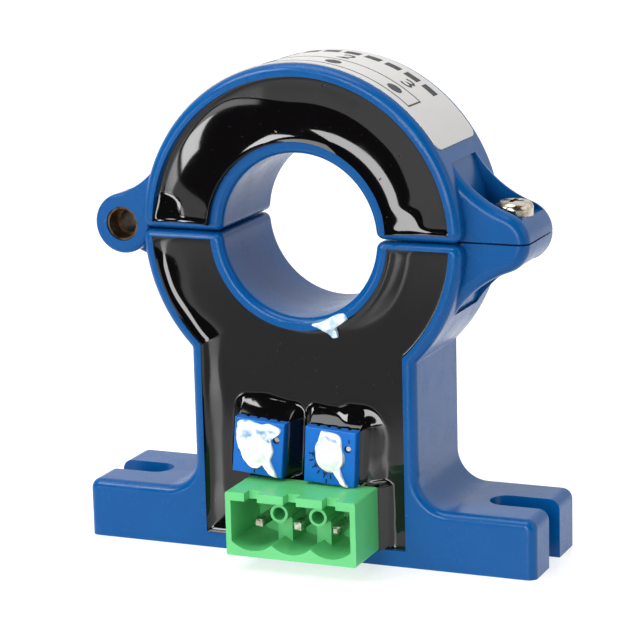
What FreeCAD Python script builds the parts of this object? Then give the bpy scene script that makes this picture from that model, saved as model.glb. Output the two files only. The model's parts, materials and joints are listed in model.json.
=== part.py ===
import FreeCAD, Part
import os
import re
import Sketcher

# Hinged split-core Hall effect current sensor on a flat foot, in millimetres.
# The origin is the middle of the base underside: X to the right, Y to the back along the bore, Z up.

os.makedirs("parts", exist_ok=True)
doc = FreeCAD.newDocument("current_sensor")
sheet = doc.addObject("Spreadsheet::Sheet", "Sizes")

SIZES = {
    # Housing
    "BodyDepth": (15.0, "housing, front rim to back face"),
    "FootLength": (14.9, "each foot, beyond the pillar"),
    "FootHeight": (7.3, "top of the feet"),
    "FootCorner": (1.3, "round on the feet's top outer corners"),
    "FootFillet": (4.0, "fillet between foot and pillar"),
    "Wall": (1.5, "side walls of the trays"),
    "BackWall": (1.5, "back wall of the trays"),
    "TrayFloor": (2.0, "bottom of the lower tray"),
    "TraySideRoom": (4.75, "room beside a centred terminal header"),
    "RingDiameter": (41.5, "ring, outside"),
    "JunctionRound": (0.6, "round where the ring meets the pillar"),
    "BoreDiameter": (20.0, "opening for the conductor"),
    "BoreWall": (1.5, "tube round the opening"),
    "PartingGap": (0.2, "gap between the closed halves"),
    "PartingCorner": (1.25, "round on the ring's corners at the gap"),
    "EndWall": (0.8, "thin wall that closes each tray at the gap"),
    "RimRound": (1.1, "round on the front rim"),
    "BoreRound": (1.0, "round on the front mouth of the opening"),
    "BackRound": (0.3, "round on the back edges"),
    "SlotWidth": (4.2, "fixing slots in the feet"),
    "SlotReach": (6.0, "slot centre, from the foot's end"),
    # Screw ear
    "EarDepth": (10.8, "ear and hinge, along Y"),
    "EarReach": (3.75, "nose centre, outside the ring"),
    "EarRadius": (3.7, "nose of the ear"),
    "EarBlend": (14.0, "hollow between ear and ring"),
    "BlendSunk": (0.03, "ends of the hollows below the ring's surface"),
    "EarRound": (1.3, "round on the ear's edges"),
    "EarCheek": (1.4, "side walls of the screw channel"),
    "EarFloor": (2.6, "channel floor, from the middle of the gap"),
    "ChannelRise": (9.2, "end of the channel, from the middle of the gap"),
    "ChannelRecess": (0.3, "depth of the channel in the ring"),
    "ScrewReach": (4.05, "screw centre, outside the ring"),
    "ScrewDiameter": (2.5, "M2.5 shank"),
    "ScrewLength": (6.0, "shank below the head"),
    "ScrewHole": (2.8, "clearance hole in the upper ear"),
    "ScrewHead": (4.7, "pan head diameter"),
    "ScrewHeadHeight": (1.7, "pan head height"),
    "ScrewHeadRound": (0.9, "round on the head"),
    "ScrewTip": (0.3, "chamfer at the end of the shank"),
    "CrossWidth": (0.6, "arms of the cross recess"),
    "CrossLength": (2.5, "span of the cross recess"),
    "CrossDepth": (0.9, "depth of the cross recess"),
    "InsertDiameter": (4.0, "threaded insert, outside"),
    "InsertGroove": (0.25, "depth of the groove round the insert"),
    "InsertGrooveWidth": (0.6, "width of the groove round the insert"),
    "ThreadClearance": (0.03, "between shank and insert, each side"),
    # Hinge
    "KnuckleRadius": (3.75, "hinge knuckles"),
    "KnuckleBlend": (10.0, "hollow between knuckle and ring"),
    "KnuckleSunk": (0.05, "knuckles inside the ring's circle, where its corners are rounded"),
    "MiddleKnuckle": (3.4, "width of the lower half's knuckle"),
    "KnuckleGap": (0.2, "gap beside the middle knuckle"),
    "KnuckleRound": (0.5, "round on the knuckles' edges"),
    "PinDiameter": (4.2, "hinge tube, outside"),
    "PinRecess": (0.2, "hinge tube's ends, below the knuckles' faces"),
    "PinMouth": (3.7, "wider bore at the tube's ends"),
    "PinMouthDepth": (2.2, "depth of the wider bore"),
    "PinBore": (2.9, "bore through the tube"),
    "RunningFit": (0.05, "hinge clearance, each side"),
    # Magnetic circuit
    "CoreFrontRoom": (3.5, "front of the ferrite core behind the rim"),
    "CoreRoomInside": (0.8, "core to the bore tube"),
    "CoreRoomOutside": (0.75, "core to the ring wall"),
    "HallGap": (2.0, "air gap at the bottom of the core"),
    "HallThickness": (1.5, "Hall element, across the gap"),
    "HallWidth": (4.0, "Hall element, along Y"),
    "HallHeight": (3.0, "Hall element, along Z"),
    "LeadPitch": (1.0, "pitch of the element's leads"),
    "LeadThickness": (0.4, "square lead wires"),
    "LeadRow": (1.2, "pitch of the leads on the board"),
    "LeadRoom": (1.2, "first lead's axis behind the board"),
    # Board
    "BoardSideRoom": (1.2, "board to the tray's side walls"),
    "BoardFloorRoom": (1.2, "board to the tray's floor"),
    "BoardTopRoom": (3.35, "board above the header and a trimmer's height"),
    "BoardThickness": (1.6, "circuit board"),
    "BoardInset": (4.2, "front of the board behind the rim"),
    "BoardCoreGap": (1.3, "between board and core"),
    "ChipWidth": (4.9, "chip bodies, along X"),
    "ChipHeight": (3.9, "chip bodies, along Z"),
    "ChipThickness": (1.5, "chip bodies"),
    "ChipLead": (0.4, "chip lead width"),
    "ChipLeadPitch": (1.27, "chip lead pitch"),
    "ChipLeadReach": (1.0, "chip leads, beyond the body"),
    "ChipLeadRoom": (0.8, "chips to the trimmers' leads"),
    "ResistorLength": (2.0, "chip resistors, along Z"),
    "ResistorWidth": (1.25, "chip resistors, along X"),
    "ResistorThickness": (0.5, "chip resistors"),
    "CapacitorLength": (2.0, "chip capacitors, along Z"),
    "CapacitorWidth": (1.25, "chip capacitors, along X"),
    "CapacitorThickness": (1.25, "chip capacitors"),
    "PartsEdge": (1.2, "resistors' centres, from the board's side"),
    # Terminal header
    "TerminalPitch": (5.08, "pitch of the three poles"),
    "HeaderSpare": (1.66, "header length beyond three pitches"),
    "HeaderHeight": (7.95, "header, along Z"),
    "HeaderDepth": (12.0, "header, along Y"),
    "HeaderShift": (1.5, "header, to the right of the middle"),
    "HeaderSide": (0.7, "header side walls"),
    "HeaderTop": (1.05, "header top wall"),
    "HeaderFloor": (0.75, "header wall under a channel"),
    "HeaderRound": (0.25, "round on the header's long edges"),
    "ChannelRadius": (3.9, "round channels for the plug's ribs"),
    "SocketDepth": (8.5, "socket, from the header's front"),
    "PostDepth": (4.4, "posts between the poles, behind the header's front"),
    "PostWidth": (1.9, "foot of each post"),
    "PostNeck": (1.1, "post under the roof"),
    "PostShoulder": (0.2, "top of each post's foot, above the pins' axis"),
    "SlotRingRadius": (1.15, "ring of the coding slot on each post, outside"),
    "SlotRingWall": (0.35, "wall of that ring"),
    "SlotRingRise": (1.25, "ring's centre above the pins' axis"),
    "SlotRingDepth": (2.6, "front of that ring behind the header's front"),
    "NotchWidth": (1.7, "notches in the header's top edge"),
    "NotchDepth": (1.5, "notches in the header's top edge"),
    "TerminalPin": (1.0, "square header pins"),
    "PinHeight": (3.7, "pin axis above the header's underside"),
    "PinSetback": (1.9, "pin tips behind the header's front"),
    "PinTaper": (0.25, "chamfer round the pin tips"),
    "PinTail": (2.0, "pins behind the board"),
    # Trimmers
    "TrimmerWidth": (6.6, "trimmer case, along X"),
    "TrimmerHeight": (6.9, "trimmer case, along Z"),
    "TrimmerDepth": (4.9, "trimmer case, along Y"),
    "TrimmerStandoff": (1.3, "trimmer case in front of the board"),
    "TrimmerRound": (0.2, "round on the trimmer's front edges"),
    "ZeroPlace": (-5.0, "zero trimmer, from the middle"),
    "ZeroLift": (0.34, "zero trimmer above the header"),
    "ZeroTilt": (4.8, "zero trimmer's lean, degrees"),
    "GainPlace": (4.4, "gain trimmer, from the middle"),
    "GainLift": (0.02, "gain trimmer above the header"),
    "GainTilt": (3.1, "gain trimmer's lean, degrees"),
    "DialRecess": (4.0, "round recess for the rotor"),
    "DialDepth": (0.9, "depth of that recess"),
    "RotorDiameter": (3.8, "slotted rotor"),
    "RotorSunk": (0.1, "rotor below the case's face"),
    "RotorSlot": (0.6, "driver slot in the rotor"),
    "RotorSlotDepth": (0.4, "driver slot in the rotor"),
    "RotorSlotLength": (3.0, "driver slot in the rotor"),
    "EyeDiameter": (0.9, "opening over the wiper's lead"),
    "EyeDepth": (0.8, "opening over the wiper's lead"),
    "EyeAcross": (2.3, "that opening, right of the dial"),
    "EyeUp": (1.3, "that opening, above the dial"),
    "EyePinSunk": (0.3, "wiper's lead below the case's face"),
    "TrimmerPin": (0.6, "trimmer leads"),
    "TrimmerPinPlace": (2.2, "other leads, from the dial"),
    "TrimmerPinTail": (1.0, "leads behind the board"),
    "RidgeNotch": (0.45, "notches across the trimmer's top"),
    "RidgeNotchDepth": (0.5, "notches across the trimmer's top"),
    "RidgeNotchPitch": (1.35, "notches across the trimmer's top"),
    "RidgeNotchStart": (0.9, "notches, behind the trimmer's face"),
    "SealRadius": (2.3, "sealant dome on a dial"),
    "SealHeight": (0.75, "sealant dome on a dial"),
    "DripLength": (2.0, "half length of the sealant's drip"),
    "DripWidth": (0.45, "half width of the sealant's drip"),
    "DripHeight": (0.35, "height of the sealant's drip"),
    "DripAcross": (1.55, "middle of the drip, right of the dial"),
    "DripDown": (2.0, "middle of the drip, below the dial"),
    "DripTurn": (38.0, "drip's slope from upright, degrees"),
    # Potting, glue and label
    "PottingDrop": (1.0, "resin surface behind the rim"),
    "MeniscusTop": (0.15, "resin's edge behind the rim"),
    "MeniscusEdge": (0.05, "thickness of the resin's edge"),
    "MeniscusWidth": (1.3, "band where the resin climbs the walls"),
    "MoundMargin": (1.3, "resin round a trimmer"),
    "MoundSetback": (0.9, "resin's mound behind the trimmer's face"),
    "MoundRound": (1.1, "round on the mound"),
    "GlueAcross": (3.9, "glue spot on the bore rim, right of the middle"),
    "GlueDown": (10.7, "glue spot, below the bore's centre"),
    "GlueWidth": (2.3, "half width of the glue spot"),
    "GlueHeight": (1.5, "half height of the glue spot"),
    "GlueThickness": (0.35, "glue spot in front of the rim"),
    "LabelThickness": (0.12, "label film"),
    "LabelAngle": (117.0, "label, round the top of the ring, degrees"),
    "LabelFrontMargin": (0.1, "label behind the rim's round"),
    "LabelBackMargin": (0.6, "label in front of the back edge's round"),
    "LabelCorner": (1.2, "round on the label's corners"),
}

for row, (alias, (amount, note)) in enumerate(SIZES.items(), 1):
    sheet.set(f"A{row}", alias)
    sheet.set(f"B{row}", str(amount))
    sheet.set(f"C{row}", note)
    sheet.setAlias(f"B{row}", alias)
doc.recompute()

# Lengths worked out from the sizes, each from those above it.
WORKED = {
    "HalfDepth": "BodyDepth / 2",
    "RingRadius": "RingDiameter / 2",
    "TrayRadius": "RingRadius - Wall",
    "RootRadius": "RingRadius - Wall / 2",
    "BlendRadius": "RingRadius - BlendSunk",
    "BoreRadius": "BoreDiameter / 2",
    "TubeRadius": "BoreRadius + BoreWall",
    "HalfGap": "PartingGap / 2",
    "TrayEnd": "HalfGap + EndWall",
    "CoreInner": "TubeRadius + CoreRoomInside",
    "CoreOuter": "TrayRadius - CoreRoomOutside",
    "CoreLength": "BodyDepth - BackWall - CoreFrontRoom",
    "HeaderRoof": "TrayFloor + HeaderHeight",
    "BoardBottom": "TrayFloor + BoardFloorRoom",
    "BoardTop": "HeaderRoof + TrimmerHeight + BoardTopRoom",
    "BoardHeight": "BoardTop - BoardBottom",
    "Centre": "BoardTop + BoardCoreGap + CoreOuter",
    "HeaderLength": "3 * TerminalPitch + HeaderSpare",
    "PillarHalf": "HeaderLength / 2 + TraySideRoom + Wall",
    "TrayHalf": "PillarHalf - Wall",
    "BoardWidth": "2 * (TrayHalf - BoardSideRoom)",
    "BaseHalf": "PillarHalf + FootLength",
    "JunctionDrop": "sqrt((RingRadius + JunctionRound)^2 - (PillarHalf + JunctionRound)^2)",
    "JunctionShare": "RingRadius / (RingRadius + JunctionRound)",
    "CornerDrop": "PartingCorner + HalfGap",
    "CornerAcross": "sqrt((RingRadius - PartingCorner)^2 - CornerDrop^2)",
    "CornerShare": "RingRadius / (RingRadius - PartingCorner)",
    "NoseCentre": "RingRadius + EarReach",
    "ScrewCentre": "RingRadius + ScrewReach",
    "HingeCentre": "RingRadius - KnuckleSunk + KnuckleRadius",
    "OuterKnuckle": "(EarDepth - MiddleKnuckle) / 2 - KnuckleGap",
    "OuterKnuckleMiddle": "EarDepth / 2 - OuterKnuckle / 2",
    "ChannelHalf": "EarDepth / 2 - EarCheek",
    "TrayBack": "HalfDepth - BackWall",
    "BoardFront": "BoardInset - HalfDepth",
    "BoardBack": "BoardFront + BoardThickness",
    "HallMiddle": "BoardBack + LeadRoom + 1.5 * LeadPitch",
    "HeaderFront": "BoardFront - HeaderDepth",
    "HeaderHalf": "HeaderLength / 2",
    "SocketHalf": "HeaderHalf - HeaderSide",
    "SocketTop": "HeaderRoof - HeaderTop",
    "SocketAxis": "TrayFloor + HeaderFloor + ChannelRadius",
    "TerminalHeight": "TrayFloor + PinHeight",
    "TrimmerFace": "BoardFront - TrimmerStandoff - TrimmerDepth",
}

NODES = []


def expanded(text):
    """The text with each worked-out length written in sizes alone."""
    for name in reversed(list(WORKED)):
        text = re.sub(rf"\b{name}\b", f"({WORKED[name]})", text)
    return text


def value(text):
    return float(sheet.evalExpression(expanded(text)))


def bind(item, path, text):
    item.setExpression(path, re.sub(r"\b([A-Z]\w+)\b", r"Sizes.\1", expanded(text)))


def node(item, label):
    """Names a finished sub-part and lists it for writing."""
    item.Label = label
    NODES.append(item)
    return item


def place(item, across, back, up, axis=None, turn=None):
    """Puts an object at a bound place, leaning by a bound angle if one is given."""
    if turn:
        item.Placement = FreeCAD.Placement(FreeCAD.Vector(), FreeCAD.Rotation(axis, value(turn)))
        bind(item, "Placement.Rotation.Angle", turn)
    for letter, text in zip("xyz", (across, back, up)):
        bind(item, f"Placement.Base.{letter}", text)


def box(name, size, corner):
    item = doc.addObject("Part::Box", name)
    for side, text in zip(("Length", "Width", "Height"), size):
        bind(item, side, text)
    place(item, *corner)
    return item


def cylinder(name, radius, height, foot):
    item = doc.addObject("Part::Cylinder", name)
    bind(item, "Radius", radius)
    bind(item, "Height", height)
    place(item, *foot)
    return item


def fused(name, shapes):
    item = doc.addObject("Part::MultiFuse", name)
    item.Shapes = shapes
    return item


def cut(name, base, tool):
    item = doc.addObject("Part::Cut", name)
    item.Base = base
    item.Tool = tool
    return item


def grouped(name, links):
    item = doc.addObject("Part::Compound", name)
    item.Links = links
    return item


def new_body(name):
    return doc.addObject("PartDesign::Body", name)


def new_sketch(body, name, role, lift="0"):
    """A sketch on one of the body's own planes, or lifted off it along its normal."""
    sketch = body.newObject("Sketcher::SketchObject", f"{body.Name}_{name}")
    plane = [feature for feature in body.Origin.OriginFeatures if feature.Role == role][0]
    sketch.AttachmentSupport = (plane, [""])
    sketch.MapMode = "FlatFace"
    bind(sketch, "AttachmentOffset.Base.z", lift)
    return sketch


def arc_between(start, end, radius, turn):
    """The shorter arc from start to end; turn is 1 to the left and -1 to the right."""
    middle = (start + end) / 2
    along = end - start
    rise = max(radius ** 2 - (along.Length / 2) ** 2, 0) ** 0.5
    left = FreeCAD.Vector(-along.y, along.x, 0).normalize()
    centre = middle + left * (rise * turn)
    first, last = (start, end) if turn > 0 else (end, start)
    circle = Part.Circle(centre, FreeCAD.Vector(0, 0, 1), radius)
    return Part.ArcOfCircle(circle, circle.parameter(first), circle.parameter(last))


def pin_down(rules, formulas, geometry, point, across, up):
    """Holds a sketch point at its bound distances from the origin."""
    for kind, text, axis in (("DistanceX", across, -2), ("DistanceY", up, -1)):
        if re.search("[A-Z]", text):
            rules.append(Sketcher.Constraint(kind, -1, 1, geometry, point, value(text)))
            formulas.append(text)
        else:
            rules.append(Sketcher.Constraint("PointOnObject", geometry, point, axis))
            formulas.append(None)


def constrain(sketch, rules, formulas):
    first = sketch.ConstraintCount
    sketch.addConstraint(rules)
    for number, text in enumerate(formulas, first):
        if text:
            bind(sketch, f"Constraints[{number}]", text)


def draw(sketch, path):
    """A closed outline. Each corner is (across, up, arc); arc is None or (radius, turn)."""
    points = [FreeCAD.Vector(value(across), value(up), 0) for across, up, _ in path]
    first = sketch.GeometryCount
    shapes = []
    ends = []
    for number, (_, _, arc) in enumerate(path):
        start = points[number]
        end = points[(number + 1) % len(path)]
        if arc:
            shapes.append(arc_between(start, end, value(arc[0]), arc[1]))
        else:
            shapes.append(Part.LineSegment(start, end))
        ends.append((2, 1) if arc and arc[1] < 0 else (1, 2))
    sketch.addGeometry(shapes, False)
    rules = []
    formulas = []
    for number, (across, up, arc) in enumerate(path):
        before = (number - 1) % len(path)
        joint = (first + before, ends[before][1], first + number, ends[number][0])
        rules.append(Sketcher.Constraint("Coincident", *joint))
        formulas.append(None)
        pin_down(rules, formulas, first + number, ends[number][0], across, up)
        if arc:
            rules.append(Sketcher.Constraint("Radius", first + number, value(arc[0])))
            formulas.append(arc[0])
    constrain(sketch, rules, formulas)
    return sketch


def draw_circle(sketch, across, up, radius):
    centre = FreeCAD.Vector(value(across), value(up), 0)
    number = sketch.addGeometry(Part.Circle(centre, FreeCAD.Vector(0, 0, 1), value(radius)), False)
    rules = [Sketcher.Constraint("Radius", number, value(radius))]
    formulas = [radius]
    pin_down(rules, formulas, number, 3, across, up)
    constrain(sketch, rules, formulas)
    return sketch


def rectangle(left, right, bottom, top):
    return [(left, bottom, None), (right, bottom, None), (right, top, None), (left, top, None)]


def mirrored(right, closing=None):
    """The right side's corners and their mirror images, as one closed path."""
    left = []
    for number in range(len(right) - 1, -1, -1):
        across, up, _ = right[number]
        leaving = right[number - 1][2] if number else closing
        left.append((f"-({across})", up, leaving))
    return right + left


def pad(body, sketch, length, symmetric=False, reverse=False):
    item = body.newObject("PartDesign::Pad", f"{sketch.Name}_pad")
    item.Profile = sketch
    item.SideType = "Symmetric" if symmetric else "One side"
    item.Reversed = reverse
    bind(item, "Length", length)
    sketch.Visibility = False
    return item


def pocket(body, sketch, depth, reverse=False):
    item = body.newObject("PartDesign::Pocket", f"{sketch.Name}_pocket")
    item.Profile = sketch
    item.Reversed = reverse
    bind(item, "Length", depth)
    return item


def revolve(body, sketch):
    """Turns a profile once round the sketch's upright axis."""
    item = body.newObject("PartDesign::Revolution", f"{sketch.Name}_turn")
    item.Profile = sketch
    item.ReferenceAxis = (sketch, ["V_Axis"])
    item.Angle = 360
    return item


def round_edges(body, name, radius, wanted):
    doc.recompute()
    tip = body.Tip
    edges = [f"Edge{number}" for number, edge in enumerate(tip.Shape.Edges, 1) if wanted(edge)]
    item = body.newObject("PartDesign::Fillet", f"{body.Name}_{name}")
    item.Base = (tip, edges)
    bind(item, "Radius", radius)
    return item


def lies_at(edge, axis, text):
    """True for an edge that lies in the plane where X, Y or Z has this value."""
    low = getattr(edge.BoundBox, axis + "Min")
    high = getattr(edge.BoundBox, axis + "Max")
    level = value(text)
    return abs(low - level) < 1e-4 and abs(high - level) < 1e-4


def is_bore(edge):
    curve = edge.Curve
    return isinstance(curve, Part.Circle) and abs(curve.Radius - value("BoreRadius")) < 1e-4


def at_parting(edge):
    return lies_at(edge, "Z", "Centre - HalfGap") or lies_at(edge, "Z", "Centre + HalfGap")


def shell_rounds(body):
    """The rounds on the rim, the bore's mouth and the back edges."""

    def outline(edge):
        return not (is_bore(edge) or at_parting(edge) or lies_at(edge, "Z", "0"))

    def front(edge):
        return lies_at(edge, "Y", "-HalfDepth")

    def back(edge):
        return lies_at(edge, "Y", "HalfDepth")

    rim = "min(RimRound; 0.9 * PartingCorner; 0.9 * FootCorner)"
    round_edges(body, "rim", rim, lambda edge: front(edge) and outline(edge))
    round_edges(body, "mouth", "BoreRound", lambda edge: front(edge) and is_bore(edge))
    round_edges(body, "back", "BackRound",
                lambda edge: back(edge) and (outline(edge) or is_bore(edge)))


def lower_outline():
    """Half of the lower half's front view: foot, pillar, ring and bore."""
    ring_root = "(PillarHalf + JunctionRound) * JunctionShare"
    return [
        ("BaseHalf", "0", None),
        ("BaseHalf", "FootHeight - FootCorner", ("FootCorner", 1)),
        ("BaseHalf - FootCorner", "FootHeight", None),
        ("PillarHalf + FootFillet", "FootHeight", ("FootFillet", -1)),
        ("PillarHalf", "FootHeight + FootFillet", None),
        ("PillarHalf", "Centre - JunctionDrop", ("JunctionRound", -1)),
        (ring_root, "Centre - JunctionDrop * JunctionShare", ("RingRadius", 1)),
        ("CornerAcross * CornerShare", "Centre - CornerDrop * CornerShare", ("PartingCorner", 1)),
        ("CornerAcross", "Centre - HalfGap", None),
        ("sqrt(BoreRadius^2 - HalfGap^2)", "Centre - HalfGap", ("BoreRadius", -1)),
    ]


def upper_outline():
    """Half of the upper half's front view, from the bore out."""
    return [
        ("sqrt(BoreRadius^2 - HalfGap^2)", "Centre + HalfGap", None),
        ("CornerAcross", "Centre + HalfGap", ("PartingCorner", 1)),
        ("CornerAcross * CornerShare", "Centre + CornerDrop * CornerShare", ("RingRadius", 1)),
    ]


def lower_tray(inset):
    """The lower tray's outline, drawn in from its walls by an inset."""
    side = f"(TrayHalf - {inset})"
    end = f"(TrayEnd + {inset})"
    outer = f"(TrayRadius - {inset})"
    tube = f"(TubeRadius + {inset})"
    return mirrored([
        (side, f"TrayFloor + {inset}", None),
        (side, f"Centre - sqrt({outer}^2 - {side}^2)", (outer, 1)),
        (f"sqrt({outer}^2 - {end}^2)", f"Centre - {end}", None),
        (f"sqrt({tube}^2 - {end}^2)", f"Centre - {end}", (tube, -1)),
    ])


def upper_tray(inset):
    """The upper tray's outline, drawn in from its walls by an inset."""
    end = f"(TrayEnd + {inset})"
    outer = f"(TrayRadius - {inset})"
    tube = f"(TubeRadius + {inset})"
    return mirrored([
        (f"sqrt({tube}^2 - {end}^2)", f"Centre + {end}", None),
        (f"sqrt({outer}^2 - {end}^2)", f"Centre + {end}", (outer, 1)),
    ], closing=(tube, -1))


def foot_slot(body, name, side):
    """A fixing slot, open at the foot's end."""
    centre = f"{side} * (BaseHalf - SlotReach)"
    end = f"{side} * (BaseHalf + FootCorner)"
    half = "SlotWidth / 2"
    turn = -side
    sketch = draw(new_sketch(body, name, "XY_Plane"), [
        (end, f"-{half}", None),
        (centre, f"-{half}", (half, turn)),
        (f"{side} * (BaseHalf - SlotReach - {half})", "0", (half, turn)),
        (centre, half, None),
        (end, half, None),
    ])
    pocket(body, sketch, "FootHeight + FootFillet", reverse=True)


def lower_shell():
    body = new_body("lower_shell")
    outline = draw(new_sketch(body, "outline", "XZ_Plane"), mirrored(lower_outline()))
    pad(body, outline, "BodyDepth", symmetric=True)
    shell_rounds(body)
    tray = draw(new_sketch(body, "tray", "XZ_Plane", "HalfDepth"), lower_tray("0"))
    pocket(body, tray, "BodyDepth - BackWall")
    foot_slot(body, "right_slot", 1)
    foot_slot(body, "left_slot", -1)
    return body


def upper_shell():
    body = new_body("upper_shell")
    path = mirrored(upper_outline(), closing=("BoreRadius", -1))
    pad(body, draw(new_sketch(body, "outline", "XZ_Plane"), path), "BodyDepth", symmetric=True)
    shell_rounds(body)
    tray = draw(new_sketch(body, "tray", "XZ_Plane", "HalfDepth"), upper_tray("0"))
    pocket(body, tray, "BodyDepth - BackWall")
    return body


def flare(reach, nose, blend):
    """Where a hollow of radius blend leaves the nose and where it meets the ring."""
    across = f"((BlendRadius + {blend})^2 - ({nose} + {blend})^2 + ({reach})^2) / (2 * {reach})"
    up = f"sqrt((BlendRadius + {blend})^2 - ({across})^2)"
    share = f"{nose} / ({nose} + {blend})"
    leave = (f"{reach} + ({across} - {reach}) * {share}", f"({up}) * {share}")
    meet = (f"({across}) / (BlendRadius + {blend})", f"({up}) / (BlendRadius + {blend})")
    return leave, meet


def turned(path, side, level):
    """An outline drawn for the upper right, moved to another side and level of the ring."""
    flip = side * level
    return [(f"{side} * ({across})", f"Centre + {level} * ({up})", arc and (arc[0], arc[1] * flip))
            for across, up, arc in path]


def lobe(round_nose, reach, nose, blend):
    """A lobe on the ring: its parting line, its nose and the hollow back to the ring."""
    leave, meet = flare(reach, nose, blend)
    return [
        ("sqrt(RootRadius^2 - HalfGap^2)", "HalfGap", None),
        *round_nose,
        (leave[0], leave[1], (blend, -1)),
        (f"BlendRadius * {meet[0]}", f"BlendRadius * {meet[1]}", None),
        (f"RootRadius * {meet[0]}", f"RootRadius * {meet[1]}", ("RootRadius", -1)),
    ]


def ear(name, level):
    """The solid ear of one half; its channel is cut once it is on the ring."""
    body = new_body(name)
    nose = [("NoseCentre + sqrt(EarRadius^2 - HalfGap^2)", "HalfGap", ("EarRadius", 1))]
    path = turned(lobe(nose, "NoseCentre", "EarRadius", "EarBlend"), 1, level)
    pad(body, draw(new_sketch(body, "outline", "XZ_Plane"), path), "EarDepth", symmetric=True)

    def edge_of_nose(edge):
        flat = lies_at(edge, "Y", "EarDepth / 2") or lies_at(edge, "Y", "-EarDepth / 2")
        curve = edge.Curve
        outside = isinstance(curve, Part.Circle) and abs(curve.Radius - value("RootRadius")) > 1e-4
        return flat and outside

    round_edges(body, "edges", "EarRound", edge_of_nose)
    return body


def knuckle(name, level, width, middle, hole):
    """One hinge knuckle with its web to the ring and its hole for the tube."""
    body = new_body(name)
    nose = [
        ("HingeCentre - sqrt(KnuckleRadius^2 - HalfGap^2)", "HalfGap", ("KnuckleRadius", 1)),
        ("HingeCentre", "-KnuckleRadius", ("KnuckleRadius", 1)),
        ("HingeCentre + KnuckleRadius", "0", ("KnuckleRadius", 1)),
    ]
    path = turned(lobe(nose, "HingeCentre", "KnuckleRadius", "KnuckleBlend"), -1, level)
    sketch = draw(new_sketch(body, "outline", "XZ_Plane", f"-({middle})"), path)
    draw_circle(sketch, "-(HingeCentre)", "Centre", hole)
    pad(body, sketch, width, symmetric=True)

    def rim_of_nose(edge):
        half = f"({width}) / 2"
        flat = lies_at(edge, "Y", f"{middle} + {half}") or lies_at(edge, "Y", f"{middle} - {half}")
        curve = edge.Curve
        if not (flat and isinstance(curve, Part.Circle)):
            return False
        return any(abs(curve.Radius - value(size)) < 1e-4 for size in ("KnuckleRadius", "KnuckleBlend"))

    round_edges(body, "edges", "KnuckleRound", rim_of_nose)
    return body


def channel(name, level):
    """The space of a screw channel: open at its end, and hollowed a little into the ring."""
    low = "EarFloor" if level > 0 else "-ChannelRise"
    size = ("2 * EarReach + 2 * EarRadius", "2 * ChannelHalf", "ChannelRise - EarFloor")
    block = box(f"{name}_block", size, ("RingRadius - EarReach", "-ChannelHalf", f"Centre + {low}"))
    drum = cylinder(f"{name}_drum", "RingRadius - ChannelRecess", "BodyDepth",
                    ("0", "-HalfDepth", "Centre"))
    drum.Placement.Rotation = FreeCAD.Rotation(FreeCAD.Vector(1, 0, 0), -90)
    return cut(name, block, drum)


def upper_housing():
    middle = "OuterKnuckleMiddle"
    hole = "PinDiameter / 2 + RunningFit"
    solid = fused("upper_solid", [
        upper_shell(),
        ear("upper_ear", 1),
        knuckle("front_knuckle", 1, "OuterKnuckle", f"-{middle}", hole),
        knuckle("rear_knuckle", 1, "OuterKnuckle", middle, hole),
    ])
    shank = cylinder("upper_screw_hole", "ScrewHole / 2", "EarFloor + HalfGap",
                     ("ScrewCentre", "0", "Centre"))
    space = fused("upper_space", [channel("upper_channel", 1), shank])
    return node(cut("upper_case", solid, space), "upper_housing")


def lower_housing():
    solid = fused("lower_solid", [
        lower_shell(),
        ear("lower_ear", -1),
        knuckle("middle_knuckle", -1, "MiddleKnuckle", "0", "PinDiameter / 2"),
    ])
    seat = cylinder("insert_seat", "InsertDiameter / 2", "EarFloor + HalfGap",
                    ("ScrewCentre", "0", "Centre - EarFloor - HalfGap"))
    space = fused("lower_space", [channel("lower_channel", -1), seat])
    return node(cut("lower_case", solid, space), "lower_housing")


def hinge_pin():
    """A tube on the hinge axis, with a wider mouth at each end."""
    body = new_body("hinge_tube")
    half = "(EarDepth / 2 - PinRecess)"
    step = f"({half} - PinMouthDepth)"
    draw(new_sketch(body, "profile", "XY_Plane"), [
        ("PinBore / 2", f"-{step}", None),
        ("PinMouth / 2", f"-{step}", None),
        ("PinMouth / 2", f"-{half}", None),
        ("PinDiameter / 2", f"-{half}", None),
        ("PinDiameter / 2", half, None),
        ("PinMouth / 2", half, None),
        ("PinMouth / 2", step, None),
        ("PinBore / 2", step, None),
    ])
    revolve(body, body.Group[-1])
    place(body, "-HingeCentre", "0", "Centre")
    return node(body, "hinge_pin")


def closing_screw():
    """Pan head screw with a cross recess; its origin is under the head."""
    body = new_body("pan_screw")
    profile = draw(new_sketch(body, "profile", "XZ_Plane"), [
        ("0", "-ScrewLength", None),
        ("ScrewDiameter / 2 - ScrewTip", "-ScrewLength", None),
        ("ScrewDiameter / 2", "ScrewTip - ScrewLength", None),
        ("ScrewDiameter / 2", "0", None),
        ("ScrewHead / 2", "0", None),
        ("ScrewHead / 2", "ScrewHeadHeight - ScrewHeadRound", ("ScrewHeadRound", 1)),
        ("ScrewHead / 2 - ScrewHeadRound", "ScrewHeadHeight", None),
        ("0", "ScrewHeadHeight", None),
    ])
    revolve(body, profile)
    arm, span = "CrossWidth / 2", "CrossLength / 2"
    for name, across, along in (("first_arm", arm, span), ("second_arm", span, arm)):
        sketch = new_sketch(body, name, "XY_Plane", "ScrewHeadHeight")
        draw(sketch, rectangle(f"-{across}", across, f"-{along}", along))
        pocket(body, sketch, "CrossDepth")
    place(body, "ScrewCentre", "0", "Centre + EarFloor")
    return node(body, "closing_screw")


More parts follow.
